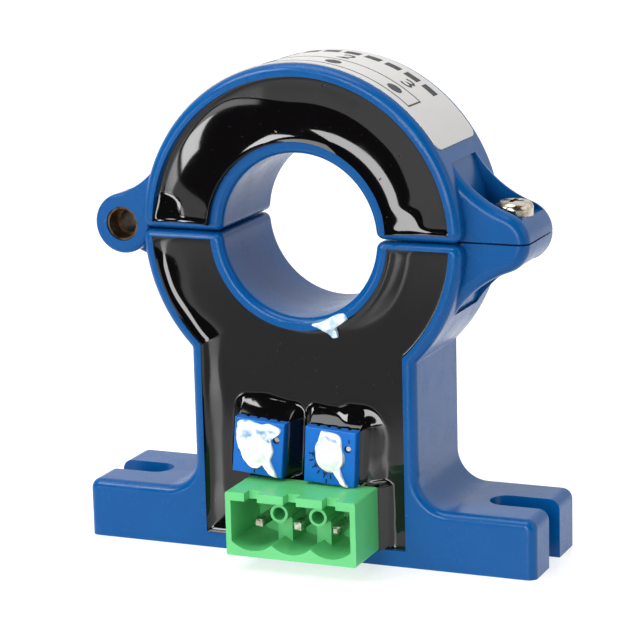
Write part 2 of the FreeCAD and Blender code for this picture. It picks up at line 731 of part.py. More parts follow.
def threaded_insert():
    """Brass insert through the lower ear's floor, grooved to hold in the plastic."""
    body = new_body("insert")
    length = "EarFloor - HalfGap"
    inner = "ScrewDiameter / 2 + ThreadClearance"
    outer = "InsertDiameter / 2"
    low = f"({length}) / 2 - InsertGrooveWidth / 2"
    high = f"({length}) / 2 + InsertGrooveWidth / 2"
    profile = draw(new_sketch(body, "profile", "XZ_Plane"), [
        (inner, "0", None),
        (outer, "0", None),
        (outer, low, None),
        (f"{outer} - InsertGroove", low, None),
        (f"{outer} - InsertGroove", high, None),
        (outer, high, None),
        (outer, length, None),
        (inner, length, None),
    ])
    revolve(body, profile)
    place(body, "ScrewCentre", "0", "Centre - EarFloor")
    return node(body, "threaded_insert")


def extruded(name, path, start, length):
    """An outline drawn in front view, solid from start back by a length."""
    body = new_body(name)
    sketch = draw(new_sketch(body, "outline", "XZ_Plane", f"-({start})"), path)
    pad(body, sketch, length, reverse=True)
    return body


def core_path(side):
    """Half of the lower core, from the parting end to the air gap."""
    gap = "(HallGap / 2)"
    path = [
        (f"{side} * sqrt(CoreOuter^2 - TrayEnd^2)", "Centre - TrayEnd", None),
        (f"{side} * sqrt(CoreInner^2 - TrayEnd^2)", "Centre - TrayEnd", ("CoreInner", -side)),
        (f"{side} * {gap}", f"Centre - sqrt(CoreInner^2 - {gap}^2)", None),
        (f"{side} * {gap}", f"Centre - sqrt(CoreOuter^2 - {gap}^2)", ("CoreOuter", side)),
    ]
    return path


def cores():
    start = "TrayBack - CoreLength"
    right = extruded("right_core", core_path(1), start, "CoreLength")
    left = extruded("left_core", core_path(-1), start, "CoreLength")
    path = mirrored([
        ("sqrt(CoreInner^2 - TrayEnd^2)", "Centre + TrayEnd", None),
        ("sqrt(CoreOuter^2 - TrayEnd^2)", "Centre + TrayEnd", ("CoreOuter", 1)),
    ], closing=("CoreInner", -1))
    upper = extruded("top_core", path, start, "CoreLength")
    node(right, "lower_core_right")
    node(left, "lower_core_left")
    node(upper, "upper_core")
    return right, left, upper


def hall_sensor():
    """The Hall element in the core's gap, and its four leads bent onto the board."""
    middle = "(Centre - (CoreInner + CoreOuter) / 2)"
    size = ("HallThickness", "HallWidth", "HallHeight")
    corner = ("-HallThickness / 2", "HallMiddle - HallWidth / 2", f"{middle} - HallHeight / 2")
    element = node(box("element", size, corner), "hall_element")
    half = "LeadThickness / 2"
    leads = []
    for number in range(4):
        along = f"(HallMiddle + {number - 1.5} * LeadPitch)"
        level = f"(BoardTop - {number + 1} * LeadRow)"
        drop = f"{middle} - HallHeight / 2 - {level}"
        upright = box(f"lead_{number}_drop", ("LeadThickness", "LeadThickness", drop),
                      (f"-{half}", f"{along} - {half}", level))
        run = f"{along} + {half} - BoardBack"
        foot = box(f"lead_{number}_foot", ("LeadThickness", run, "LeadThickness"),
                   (f"-{half}", "BoardBack", level))
        leads.append(fused(f"lead_{number}", [upright, foot]))
    return element, node(grouped("lead_set", leads), "hall_leads")


def chip(name, trimmer):
    """A small-outline chip behind a trimmer, clear of its leads, with four leads on each side."""
    room = "(TrimmerPin / 2 + ChipLeadRoom)"
    across = f"({trimmer.across} + EyeAcross - {room} - ChipWidth / 2)"
    middle = f"({trimmer.up} - TrimmerPinPlace + {room} + ChipLeadReach + ChipHeight / 2)"
    size = ("ChipWidth", "ChipThickness", "ChipHeight")
    corner = (f"{across} - ChipWidth / 2", "BoardBack", f"{middle} - ChipHeight / 2")
    shapes = [box(f"{name}_case", size, corner)]
    for number in range(4):
        place_across = f"{across} + {number - 1.5} * ChipLeadPitch - ChipLead / 2"
        span = "ChipHeight + 2 * ChipLeadReach"
        shapes.append(box(f"{name}_lead_{number}", ("ChipLead", "ChipLead", span),
                          (place_across, "BoardBack", f"{middle} - ({span}) / 2")))
    return fused(name, shapes)


def small_parts(name, kind, count, across):
    """A column of chip parts on the front of the board."""
    parts = []
    for number in range(count):
        up = f"BoardBottom + BoardHeight * {number + 0.5} / {count}"
        size = (f"{kind}Width", f"{kind}Thickness", f"{kind}Length")
        corner = (f"{across} - {kind}Width / 2", f"BoardFront - {kind}Thickness",
                  f"{up} - {kind}Length / 2")
        parts.append(box(f"{name}_{number}", size, corner))
    return grouped(name, parts)


def pole_places():
    return [f"(HeaderShift + {number} * TerminalPitch)" for number in (-1, 0, 1)]


def socket_path():
    """The socket's mouth: flat above, three round channels below."""
    side = "SocketHalf"
    edge = f"({side} - TerminalPitch)"
    cusp = "SocketAxis - sqrt(ChannelRadius^2 - (TerminalPitch / 2)^2)"
    low = f"SocketAxis - sqrt(ChannelRadius^2 - {edge}^2)"
    bow = ("ChannelRadius", 1)
    return [
        (f"HeaderShift - {side}", "SocketTop", None),
        (f"HeaderShift - {side}", low, bow),
        ("HeaderShift - TerminalPitch / 2", cusp, bow),
        ("HeaderShift + TerminalPitch / 2", cusp, bow),
        (f"HeaderShift + {side}", low, None),
        (f"HeaderShift + {side}", "SocketTop", None),
    ]


def post_path(middle):
    """A post between two poles: a broad foot in the floor and a narrower neck up to the roof."""
    foot = "PostWidth / 2"
    neck = "PostNeck / 2"
    shoulder = "(TerminalHeight + PostShoulder)"
    return [
        (f"{middle} - {foot}", "TrayFloor + HeaderFloor / 2", None),
        (f"{middle} + {foot}", "TrayFloor + HeaderFloor / 2", None),
        (f"{middle} + {foot}", shoulder, None),
        (f"{middle} + {neck}", f"{shoulder} + {foot} - {neck}", None),
        (f"{middle} + {neck}", "SocketTop + HeaderTop / 2", None),
        (f"{middle} - {neck}", "SocketTop + HeaderTop / 2", None),
        (f"{middle} - {neck}", f"{shoulder} + {foot} - {neck}", None),
        (f"{middle} - {foot}", shoulder, None),
    ]


def header_housing():
    body = new_body("header")
    front = "-(HeaderFront)"
    sides = ("HeaderShift - HeaderHalf", "HeaderShift + HeaderHalf", "TrayFloor", "HeaderRoof")
    block = draw(new_sketch(body, "block", "XZ_Plane", front), rectangle(*sides))
    pad(body, block, "HeaderDepth", reverse=True)
    round_edges(body, "long_edges", "HeaderRound",
                lambda edge: edge.BoundBox.YLength > value("HeaderDepth / 2"))
    socket = draw(new_sketch(body, "socket", "XZ_Plane", front), socket_path())
    pocket(body, socket, "SocketDepth")
    posts = new_sketch(body, "posts", "XZ_Plane", f"{front} - PostDepth")
    rings = new_sketch(body, "rings", "XZ_Plane", f"{front} - SlotRingDepth")
    slots = new_sketch(body, "coding_slots", "XZ_Plane", f"{front} - SlotRingDepth")
    level = "TerminalHeight + SlotRingRise"
    for side in (-1, 1):
        middle = f"(HeaderShift + {side / 2} * TerminalPitch)"
        draw(posts, post_path(middle))
        draw_circle(rings, middle, level, "SlotRingRadius")
        draw_circle(slots, middle, level, "SlotRingRadius - SlotRingWall")
    pad(body, posts, "HeaderDepth - PostDepth", reverse=True)
    pad(body, rings, "HeaderDepth - SlotRingDepth", reverse=True)
    pocket(body, slots, "SocketDepth - SlotRingDepth")
    notches = new_sketch(body, "notches", "XZ_Plane", front)
    holes = new_sketch(body, "holes", "XZ_Plane", front)
    half = "TerminalPin / 2"
    for middle in pole_places():
        draw(notches, rectangle(f"{middle} - NotchWidth / 2", f"{middle} + NotchWidth / 2",
                                "SocketTop - HeaderTop / 2", "HeaderRoof + HeaderTop / 2"))
        draw(holes, rectangle(f"{middle} - {half}", f"{middle} + {half}",
                              f"TerminalHeight - {half}", f"TerminalHeight + {half}"))
    pocket(body, notches, "NotchDepth")
    pocket(body, holes, "HeaderDepth + HeaderSide")
    return node(body, "header_housing")


def header_pins():
    """Three square pins through the header's back and the board."""
    pins = []
    half = "TerminalPin / 2"
    length = "HeaderDepth - PinSetback + BoardThickness + PinTail"
    for number, middle in enumerate(pole_places(), 1):
        sides = (f"{middle} - {half}", f"{middle} + {half}",
                 f"TerminalHeight - {half}", f"TerminalHeight + {half}")
        body = extruded(f"pin_{number}", rectangle(*sides), "HeaderFront + PinSetback", length)
        doc.recompute()
        tip = body.Tip
        edges = [f"Edge{count}" for count, edge in enumerate(tip.Shape.Edges, 1)
                 if lies_at(edge, "Y", "HeaderFront + PinSetback")]
        point = body.newObject("PartDesign::Chamfer", f"pin_{number}_point")
        point.Base = (tip, edges)
        bind(point, "Size", "PinTaper")
        pins.append(node(body, f"header_pin_{number}"))
    return pins


class Trimmer:
    """A leaning trimmer: its parts share one frame, whose origin is the middle of the face."""

    def __init__(self, name):
        self.name = name
        alias = name.capitalize()
        self.across = f"{alias}Place"
        self.tilt = f"{alias}Tilt"
        rise = f"TrimmerHeight / 2 * cos({self.tilt}) + TrimmerWidth / 2 * sin({self.tilt})"
        self.up = f"(HeaderRoof + {alias}Lift + {rise})"
        self.back = "BoardBack - TrimmerFace"

    def seat(self, item):
        """Moves an item drawn about the face's middle to its place on the sensor."""
        place(item, self.across, "TrimmerFace", self.up, FreeCAD.Vector(0, 1, 0), self.tilt)
        return item

    def drilled(self, body, name, across, up, radius, depth):
        sketch = draw_circle(new_sketch(body, name, "XZ_Plane"), across, up, radius)
        pocket(body, sketch, depth)

    def leads(self):
        """Places of the three leads across and up, and where each begins."""
        low = "-TrimmerPinPlace"
        return (("EyeAcross", "EyeUp", "EyePinSunk"),
                ("TrimmerPinPlace", low, "TrimmerDepth"),
                (low, low, "TrimmerDepth"))

    def case(self):
        body = new_body(f"{self.name}_case")
        half = ("TrimmerWidth / 2", "TrimmerHeight / 2")
        path = rectangle(f"-{half[0]}", half[0], f"-{half[1]}", half[1])
        pad(body, draw(new_sketch(body, "face", "XZ_Plane"), path), "TrimmerDepth", reverse=True)
        round_edges(body, "face_edges", "TrimmerRound", lambda edge: lies_at(edge, "Y", "0"))
        self.drilled(body, "dial", "0", "0", "DialRecess / 2", "DialDepth")
        self.drilled(body, "eye", "EyeAcross", "EyeUp", "EyeDiameter / 2", "EyeDepth")
        self.drilled(body, "lead", "EyeAcross", "EyeUp", "TrimmerPin / 2",
                     "TrimmerDepth + EyeDepth")
        top = new_sketch(body, "ridges", "XZ_Plane", "-RidgeNotchStart")
        for number in range(4):
            middle = f"({number - 1.5} * RidgeNotchPitch)"
            draw(top, rectangle(f"{middle} - RidgeNotch / 2", f"{middle} + RidgeNotch / 2",
                                "TrimmerHeight / 2 - RidgeNotchDepth",
                                "TrimmerHeight / 2 + RidgeNotchDepth"))
        pocket(body, top, "TrimmerDepth")
        return node(self.seat(body), f"{self.name}_trimmer_case")

    def rotor(self):
        body = new_body(f"{self.name}_rotor")
        disc = new_sketch(body, "disc", "XZ_Plane", "-RotorSunk")
        draw_circle(disc, "0", "0", "RotorDiameter / 2")
        pad(body, disc, "DialDepth - RotorSunk", reverse=True)
        slot = new_sketch(body, "slot", "XZ_Plane", "-RotorSunk")
        draw(slot, rectangle("-RotorSlot / 2", "RotorSlot / 2",
                             "-RotorSlotLength / 2", "RotorSlotLength / 2"))
        pocket(body, slot, "RotorSlotDepth")
        return node(self.seat(body), f"{self.name}_trimmer_rotor")

    def pins(self):
        rods = []
        for number, (across, up, start) in enumerate(self.leads()):
            body = new_body(f"{self.name}_lead_{number}")
            end = new_sketch(body, "end", "XZ_Plane", f"-{start}")
            draw_circle(end, across, up, "TrimmerPin / 2")
            pad(body, end, f"{self.back} + TrimmerPinTail - {start}", reverse=True)
            rods.append(self.seat(body))
        return node(grouped(f"{self.name}_leads", rods), f"{self.name}_trimmer_pins")

    def mound(self):
        """The resin drawn up round the case."""
        body = new_body(f"{self.name}_mound")
        across = "(TrimmerWidth / 2 + MoundMargin)"
        up = "(TrimmerHeight / 2 + MoundMargin)"
        sketch = new_sketch(body, "outline", "XZ_Plane", "-MoundSetback")
        draw(sketch, rectangle(f"-{across}", across, f"-{up}", up))
        pad(body, sketch, "BoardFront - PottingDrop - TrimmerFace - MoundSetback", reverse=True)
        round_edges(body, "corners", "2 * MoundRound",
                    lambda edge: edge.BoundBox.YLength > value("MoundRound / 4"))
        round_edges(body, "brow", "MoundRound", lambda edge: lies_at(edge, "Y", "MoundSetback"))
        return self.seat(body)

    def blob(self, name, radii, across, up, turn=None):
        """An ellipsoid centred on the face, with radii across, along Y and up."""
        item = doc.addObject("Part::Ellipsoid", name)
        for side, text in zip(("Radius2", "Radius3", "Radius1"), radii):
            bind(item, side, text)
        place(item, across, "0", up, FreeCAD.Vector(0, 1, 0), turn)
        return item

    def sealant(self):
        """The lock sealant: a dome over the dial and a drip down to the right."""
        dome = self.blob(f"{self.name}_dome", ("SealRadius", "SealHeight", "SealRadius"), "0", "0")
        drip = self.blob(f"{self.name}_drip", ("DripWidth", "DripHeight", "DripLength"),
                         "DripAcross", "-DripDown", "-DripTurn")
        block = box(f"{self.name}_block", ("2 * TrimmerWidth", "TrimmerDepth", "2 * TrimmerHeight"),
                    ("-TrimmerWidth", "0", "-TrimmerHeight"))
        drop = cut(f"{self.name}_seal", fused(f"{self.name}_drops", [dome, drip]), block)
        return node(self.seat(drop), f"{self.name}_sealant")


def potting_fill(name, tray):
    """Resin in a tray: a level surface that climbs the walls in a hollow band."""
    body = new_body(name)
    front = "(HalfDepth - MeniscusTop)"
    fill = draw(new_sketch(body, "fill", "XZ_Plane", front), tray("0"))
    pad(body, fill, f"{front} + TrayBack", reverse=True)
    band = "(PottingDrop - MeniscusTop)"
    steps = [
        (front, "MeniscusEdge"),
        (f"{front} - 0.6 * {band}", "(0.3 * MeniscusWidth)"),
        (f"{front} - {band}", "MeniscusWidth"),
    ]
    sketches = [draw(new_sketch(body, f"band_{number}", "XZ_Plane", level), tray(inset))
                for number, (level, inset) in enumerate(steps)]
    hollow = body.newObject("PartDesign::SubtractiveLoft", f"{name}_hollow")
    hollow.Profile = sketches[0]
    hollow.Sections = sketches[1:]
    hollow.Ruled = True
    return body


def header_envelope():
    return box("header_space", ("HeaderLength", "HeaderDepth", "HeaderHeight"),
               ("HeaderShift - HeaderHalf", "HeaderFront", "TrayFloor"))


def lower_potting(held, mounds):
    """Resin round everything that the lower tray holds."""
    fill = fused("lower_resin", [potting_fill("lower_fill", lower_tray), *mounds])
    return node(cut("lower_pour", fill, fused("lower_held", held)), "lower_potting")


def circuit_board(pins):
    size = ("BoardWidth", "BoardThickness", "BoardHeight")
    plate = box("plate", size, ("-BoardWidth / 2", "BoardFront", "BoardBottom"))
    return node(cut("board", plate, fused("board_holes", pins)), "circuit_board")


def bore_glue(housing, resin):
    """A flat spot of glue lapped over the bore's front rim and the resin beside it."""
    spot = doc.addObject("Part::Ellipsoid", "glue_spot")
    for side, text in (("Radius2", "GlueWidth"), ("Radius3", "GlueThickness"), ("Radius1", "GlueHeight")):
        bind(spot, side, text)
    place(spot, "GlueAcross", "-HalfDepth", "Centre - GlueDown")
    on_rim = cut("glue_on_rim", spot, housing)
    return node(cut("glue", on_rim, resin), "bore_glue")


def label():
    """The film round the top of the ring, with rounded corners."""
    body = new_body("film")
    across = "sin(LabelAngle / 2)"
    up = "cos(LabelAngle / 2)"
    outer = "(RingRadius + LabelThickness)"
    right = [
        (f"RingRadius * {across}", f"Centre + RingRadius * {up}", None),
        (f"{outer} * {across}", f"Centre + {outer} * {up}", (outer, 1)),
    ]
    front = "(HalfDepth - RimRound - LabelFrontMargin)"
    path = mirrored(right, closing=("RingRadius", -1))
    sketch = draw(new_sketch(body, "outline", "XZ_Plane", front), path)
    pad(body, sketch, f"{front} + HalfDepth - BackRound - LabelBackMargin", reverse=True)
    round_edges(body, "corners", "LabelCorner",
                lambda edge: edge.Length < 1.5 * value("LabelThickness"))
    return node(body, "label")


lower = lower_housing()
upper_housing()
hinge_pin()
closing_screw()
threaded_insert()
right_core, left_core, top_core = cores()
element, element_leads = hall_sensor()
trimmers = [Trimmer("zero"), Trimmer("gain")]
amplifier = node(chip("amplifier", trimmers[0]), "amplifier_chip")
regulator = node(chip("regulator", trimmers[1]), "regulator_chip")
left_column = "(PartsEdge - BoardWidth / 2)"
right_column = "(HeaderShift + HeaderHalf + BoardWidth / 2) / 2"
resistors = node(small_parts("resistors", "Resistor", 4, left_column), "board_resistors")
capacitors = node(small_parts("capacitors", "Capacitor", 3, right_column), "board_capacitors")
header_housing()
terminal_pins = header_pins()
trimmer_cases = [trimmer.case() for trimmer in trimmers]
trimmer_pins = [trimmer.pins() for trimmer in trimmers]
for trimmer in trimmers:
    trimmer.rotor()
    trimmer.sealant()
circuit = circuit_board(terminal_pins + trimmer_pins)
held = [right_core, left_core, element, element_leads, amplifier, regulator, resistors, capacitors,
        circuit, header_envelope(), *terminal_pins, *trimmer_cases, *trimmer_pins]
resin_below = lower_potting(held, [trimmer.mound() for trimmer in trimmers])
node(cut("upper_pour", potting_fill("upper_fill", upper_tray), top_core), "upper_potting")
bore_glue(lower, resin_below)
label()
doc.recompute()

for item in doc.Objects:
    if "Invalid" in item.State or "Error" in item.State:
        raise RuntimeError(f"{item.Name} did not build: {item.State}")
    if item.TypeId in ("PartDesign::Pocket", "PartDesign::SubtractiveLoft"):
        if item.Shape.Volume > item.BaseFeature.Shape.Volume - 1e-3:
            raise RuntimeError(f"{item.Name} cuts nothing")

for item in NODES:
    if item.Shape.isNull() or not item.Shape.isValid():
        raise RuntimeError(f"{item.Label} has no valid shape")
for item in NODES:
    item.Shape.exportStep(f"parts/{item.Label}.step")
    extent = item.Shape.BoundBox
    print(f"{item.Label:20} solids {len(item.Shape.Solids)} volume {item.Shape.Volume:9.2f} "
          f"x {extent.XMin:.2f}..{extent.XMax:.2f} y {extent.YMin:.2f}..{extent.YMax:.2f} "
          f"z {extent.ZMin:.2f}..{extent.ZMax:.2f}")
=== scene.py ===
"""Finish for a hinged split-core current sensor: plastics, resin, sealant, metal, label."""

import json
import math

import bpy
from mathutils import Matrix, Vector, noise


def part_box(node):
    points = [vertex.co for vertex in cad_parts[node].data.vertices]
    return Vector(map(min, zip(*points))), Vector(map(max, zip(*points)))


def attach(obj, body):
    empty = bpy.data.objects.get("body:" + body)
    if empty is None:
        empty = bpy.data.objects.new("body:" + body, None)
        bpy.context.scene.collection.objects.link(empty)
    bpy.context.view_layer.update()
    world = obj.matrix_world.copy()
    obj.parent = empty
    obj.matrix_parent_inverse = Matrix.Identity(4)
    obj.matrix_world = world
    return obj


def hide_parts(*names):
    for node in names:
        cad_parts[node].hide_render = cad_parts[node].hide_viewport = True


bl_info = {
    "name": "Split-core current sensor finish",
    "version": (1, 1, 0),
    "blender": (4, 5, 0),
    "location": "3D View > Sidebar > Sensor",
    "description": "Dresses the sensor's frame with plastics, resin, sealant, metal and a label",
    "category": "Object",
}

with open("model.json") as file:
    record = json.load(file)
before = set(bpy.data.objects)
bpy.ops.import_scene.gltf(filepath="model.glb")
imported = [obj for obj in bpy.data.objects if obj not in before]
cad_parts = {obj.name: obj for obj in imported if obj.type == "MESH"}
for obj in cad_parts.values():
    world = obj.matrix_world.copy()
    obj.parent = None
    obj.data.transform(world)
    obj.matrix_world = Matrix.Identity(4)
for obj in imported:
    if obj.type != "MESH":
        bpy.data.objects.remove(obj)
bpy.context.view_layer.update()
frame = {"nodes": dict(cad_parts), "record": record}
MM = 0.001
LOWER, UPPER = "lower_half", "upper_half"

# The conductor opening and the ring round it, taken from the frame.
BORE_MOUNT = next(mount for mount in frame["record"]["mounts"]
                  if mount["name"] == "conductor_bore")
BORE = Vector(BORE_MOUNT["pos_m"])
HOUSING_WALL = 1.5 * MM
TUBE_RADIUS = BORE_MOUNT["dims"]["r_mm"] * MM + HOUSING_WALL
LABEL_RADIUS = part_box("label")[1].z - BORE.z

# The trays that hold the resin: round the ring, and down the pillar to the tray's floor.
TRAY_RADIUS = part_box("upper_housing")[1].z - BORE.z - HOUSING_WALL
TRAY_HALF = 13.2 * MM
TRAY_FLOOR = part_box("lower_potting")[0].z
TRAY_END = BORE.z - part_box("lower_potting")[1].z
TRAY_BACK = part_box("lower_potting")[1].y

# The front planes of the housing and of the trimmers' faces, and the header's thin shell.
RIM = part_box("lower_housing")[0].y
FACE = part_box("zero_trimmer_case")[0].y
HEADER_WALL = 0.45 * MM
HEADER_SINK = 0.6 * MM

# Outlines in millimetres. A dial's are from its middle, across and up its face, and the
# glue's are across from the bore's axis and up from the base.
ZERO_SPLASH = [(-2.7, 3.1), (-1.8, 3.35), (-0.7, 3.25), (0.3, 3.05), (1.2, 3.3), (2.2, 3.1),
               (2.9, 2.75), (2.75, 2.2), (1.9, 1.95), (1.7, 1.3), (1.85, 0.6), (2.1, -0.2),
               (1.8, -1.3), (2.15, -2.1), (2.6, -2.9), (2.75, -3.35), (2.35, -3.3),
               (1.5, -2.7), (0.85, -2.1), (0.2, -2.55), (-0.7, -2.55), (-1.5, -2.0),
               (-2.15, -1.35), (-2.5, -0.4), (-2.9, 0.4), (-3.0, 1.6), (-3.0, 2.6)]
GAIN_SPLASH = [(-1.3, 2.95), (-1.1, 3.25), (-0.2, 3.2), (0.9, 3.05), (1.5, 2.5), (1.6, 1.55),
               (1.75, 0.55), (1.8, -0.5), (1.5, -1.2), (1.75, -2.0), (2.2, -2.9), (2.6, -3.4),
               (2.2, -3.45), (1.6, -2.9), (1.05, -2.25), (0.55, -1.75), (-0.3, -1.55),
               (-1.15, -0.95), (-1.8, 0.15), (-1.9, 1.3), (-1.55, 2.0)]
GLUE_SPLASH = [(1.7, 29.4), (2.7, 29.75), (3.7, 30.2), (4.6, 30.7), (5.8, 31.0), (6.25, 30.4),
               (5.5, 29.7), (4.6, 29.05), (4.7, 28.45), (4.75, 27.85), (4.15, 27.7), (3.8, 28.0),
               (3.25, 28.5), (2.6, 28.95)]


def linear(colour):
    """An sRGB hex colour as the linear colour that shaders take."""
    levels = [int(colour[place:place + 2], 16) / 255 for place in (1, 3, 5)]
    return tuple(level / 12.92 if level <= 0.04045 else ((level + 0.055) / 1.055) ** 2.4
                 for level in levels) + (1.0,)


def add(tree, kind, settings=None, links=None):
    """Adds a node with its settings and the nodes or sockets that feed its inputs."""
    made = tree.nodes.new(kind)
    for name, value in (settings or {}).items():
        if isinstance(name, str) and hasattr(made, name):
            setattr(made, name, value)
        else:
            made.inputs[name].default_value = value
    for name, source in (links or {}).items():
        socket = source.outputs[0] if isinstance(source, bpy.types.Node) else source
        tree.links.new(socket, made.inputs[name])
    return made


def new_material(name):
    """An empty material, its node tree, and the object's own places to lay its patterns by."""
    material = bpy.data.materials.new(name)
    material.use_nodes = True
    tree = material.node_tree
    tree.nodes.clear()
    return material, tree, add(tree, "ShaderNodeTexCoord").outputs["Object"]


def per_metre(millimetres):
    """Noise scale whose features are this many millimetres across."""
    return 1000.0 / millimetres


def moulded_abs(settings):
    """Injection-moulded ABS, dyed in the mass: satin gloss, faint orange peel, pale scuffs.

    The mould's grain is finer than 0.16 mm, and is drawn that coarse so that it shows.
    """
    material, tree, where = new_material("moulded_blue_abs")
    cloud = add(tree, "ShaderNodeTexNoise", {"Scale": per_metre(9.0)}, {"Vector": where})
    dye = add(tree, "ShaderNodeMix", {"data_type": "RGBA", 6: settings.dark_shade,
                                      7: settings.light_shade}, {0: cloud})
    drawn = add(tree, "ShaderNodeMapping", {"Scale": (1.0, 1.0, 6.0)}, {"Vector": where})
    scratch = add(tree, "ShaderNodeTexNoise", {"Scale": per_metre(3.2), "Detail": 8.0,
                                               "Roughness": 0.72}, {"Vector": drawn})
    worn = add(tree, "ShaderNodeMapRange", {"From Min": 0.66, "From Max": 0.74, "To Max": 0.3},
               {"Value": scratch})
    colour = add(tree, "ShaderNodeMix", {"data_type": "RGBA", 7: linear("#6E9AC8")},
                 {0: worn, 6: dye.outputs[2]})
    polish = add(tree, "ShaderNodeTexNoise", {"Scale": per_metre(3.0), "Detail": 5.0},
                 {"Vector": where})
    gloss = add(tree, "ShaderNodeMapRange", {
        "From Min": 0.3, "From Max": 0.7, "To Min": settings.roughness - 0.05,
        "To Max": settings.roughness + 0.07}, {"Value": polish})
    peel = add(tree, "ShaderNodeTexNoise", {"Scale": per_metre(1.1)}, {"Vector": where})
    wave = add(tree, "ShaderNodeBump", {"Strength": 0.3, "Distance": 0.03 * MM}, {"Height": peel})
    grain = add(tree, "ShaderNodeTexNoise", {"Scale": per_metre(0.16)}, {"Vector": where})
    relief = add(tree, "ShaderNodeBump", {"Strength": 0.2, "Distance": 0.008 * MM},
                 {"Height": grain, "Normal": wave})
    shader = add(tree, "ShaderNodeBsdfPrincipled", {"Specular IOR Level": 0.22},
                 {"Base Color": colour.outputs[2], "Roughness": gloss, "Normal": relief})
    add(tree, "ShaderNodeOutputMaterial", links={"Surface": shader})
    return material


def cast_epoxy(settings):
    """Poured black epoxy: mirror gloss, gently uneven, with pin-prick bubbles and dust.

    Its dust specks come from features of 0.22 mm, coarser than real dust, so that they show.
    """
    material, tree, where = new_material("cast_black_epoxy")
    specks = add(tree, "ShaderNodeTexNoise", {"Scale": per_metre(0.22), "Detail": 1.0},
                 {"Vector": where})
    dust = add(tree, "ShaderNodeMapRange", {"From Min": 0.77, "From Max": 0.80, "To Max": 0.5},
               {"Value": specks})
    colour = add(tree, "ShaderNodeMix", {"data_type": "RGBA", 6: linear("#060506"),
                                         7: linear("#6A6868")}, {0: dust})
    breath = add(tree, "ShaderNodeTexNoise", {"Scale": per_metre(5.0), "Detail": 4.0},
                 {"Vector": where})
    gloss = add(tree, "ShaderNodeMapRange", {
        "From Min": 0.5, "From Max": 0.8, "To Min": settings.roughness,
        "To Max": settings.roughness + 0.08}, {"Value": breath})
    sag = add(tree, "ShaderNodeTexNoise", {"Scale": per_metre(8.0), "Detail": 1.0},
              {"Vector": where})
    wave = add(tree, "ShaderNodeBump", {"Strength": 0.3, "Distance": 0.16 * MM}, {"Height": sag})
    bubbles = add(tree, "ShaderNodeTexVoronoi", {"Scale": per_metre(3.4)}, {"Vector": where})
    rim = add(tree, "ShaderNodeMapRange", {"From Max": 0.05}, {"Value": bubbles})
    relief = add(tree, "ShaderNodeBump", {"Strength": 0.5, "Distance": 0.05 * MM},
                 {"Height": rim, "Normal": wave})
    shader = add(tree, "ShaderNodeBsdfPrincipled", {"IOR": 1.5},
                 {"Base Color": colour.outputs[2], "Roughness": gloss, "Normal": relief})
    add(tree, "ShaderNodeOutputMaterial", links={"Surface": shader})
    return material


def moulded_pbt(settings):
    """Injection-moulded PBT, light green: satin, a little see-through at its thin edges."""
    material, tree, where = new_material("moulded_green_pbt")
    cloud = add(tree, "ShaderNodeTexNoise", {"Scale": per_metre(5.0)}, {"Vector": where})
    colour = add(tree, "ShaderNodeMix", {"data_type": "RGBA", 6: settings.dark_shade,
                                         7: settings.light_shade}, {0: cloud})
    polish = add(tree, "ShaderNodeTexNoise", {"Scale": per_metre(1.8), "Detail": 4.0},
                 {"Vector": where})
    gloss = add(tree, "ShaderNodeMapRange", {
        "From Min": 0.3, "From Max": 0.7, "To Min": 0.30, "To Max": 0.44}, {"Value": polish})
    grain = add(tree, "ShaderNodeTexNoise", {"Scale": per_metre(0.25), "Detail": 3.0},
                {"Vector": where})
    relief = add(tree, "ShaderNodeBump", {"Strength": 0.25, "Distance": 0.012 * MM},
                 {"Height": grain})
    shader = add(tree, "ShaderNodeBsdfPrincipled", {
        "Specular IOR Level": 0.7, "Subsurface Weight": 0.15, "Subsurface Radius": (0.3, 1.0, 0.4),
        "Subsurface Scale": 0.7 * MM},
        {"Base Color": colour.outputs[2], "Roughness": gloss, "Normal": relief})
    add(tree, "ShaderNodeOutputMaterial", links={"Surface": shader})
    return material


def fine_grained(name, dark, light, roughness):
    """A small moulded or fired part: two close shades and a matte grain.

    The grain is drawn 0.14 mm coarse so that it shows on parts of a few millimetres.
    """
    material, tree, where = new_material(name)
    cloud = add(tree, "ShaderNodeTexNoise", {"Scale": per_metre(2.5)}, {"Vector": where})
    colour = add(tree, "ShaderNodeMix", {"data_type": "RGBA", 6: linear(dark),
                                         7: linear(light)}, {0: cloud})
    polish = add(tree, "ShaderNodeTexNoise", {"Scale": per_metre(0.8)}, {"Vector": where})
    gloss = add(tree, "ShaderNodeMapRange", {
        "From Min": 0.3, "From Max": 0.7, "To Min": roughness - 0.05, "To Max": roughness + 0.08},
        {"Value": polish})
    grain = add(tree, "ShaderNodeTexNoise", {"Scale": per_metre(0.14)}, {"Vector": where})
    relief = add(tree, "ShaderNodeBump", {"Strength": 0.3, "Distance": 0.008 * MM},
                 {"Height": grain})
    shader = add(tree, "ShaderNodeBsdfPrincipled", {"Specular IOR Level": 0.25},
                 {"Base Color": colour.outputs[2], "Roughness": gloss, "Normal": relief})
    add(tree, "ShaderNodeOutputMaterial", links={"Surface": shader})
    return material


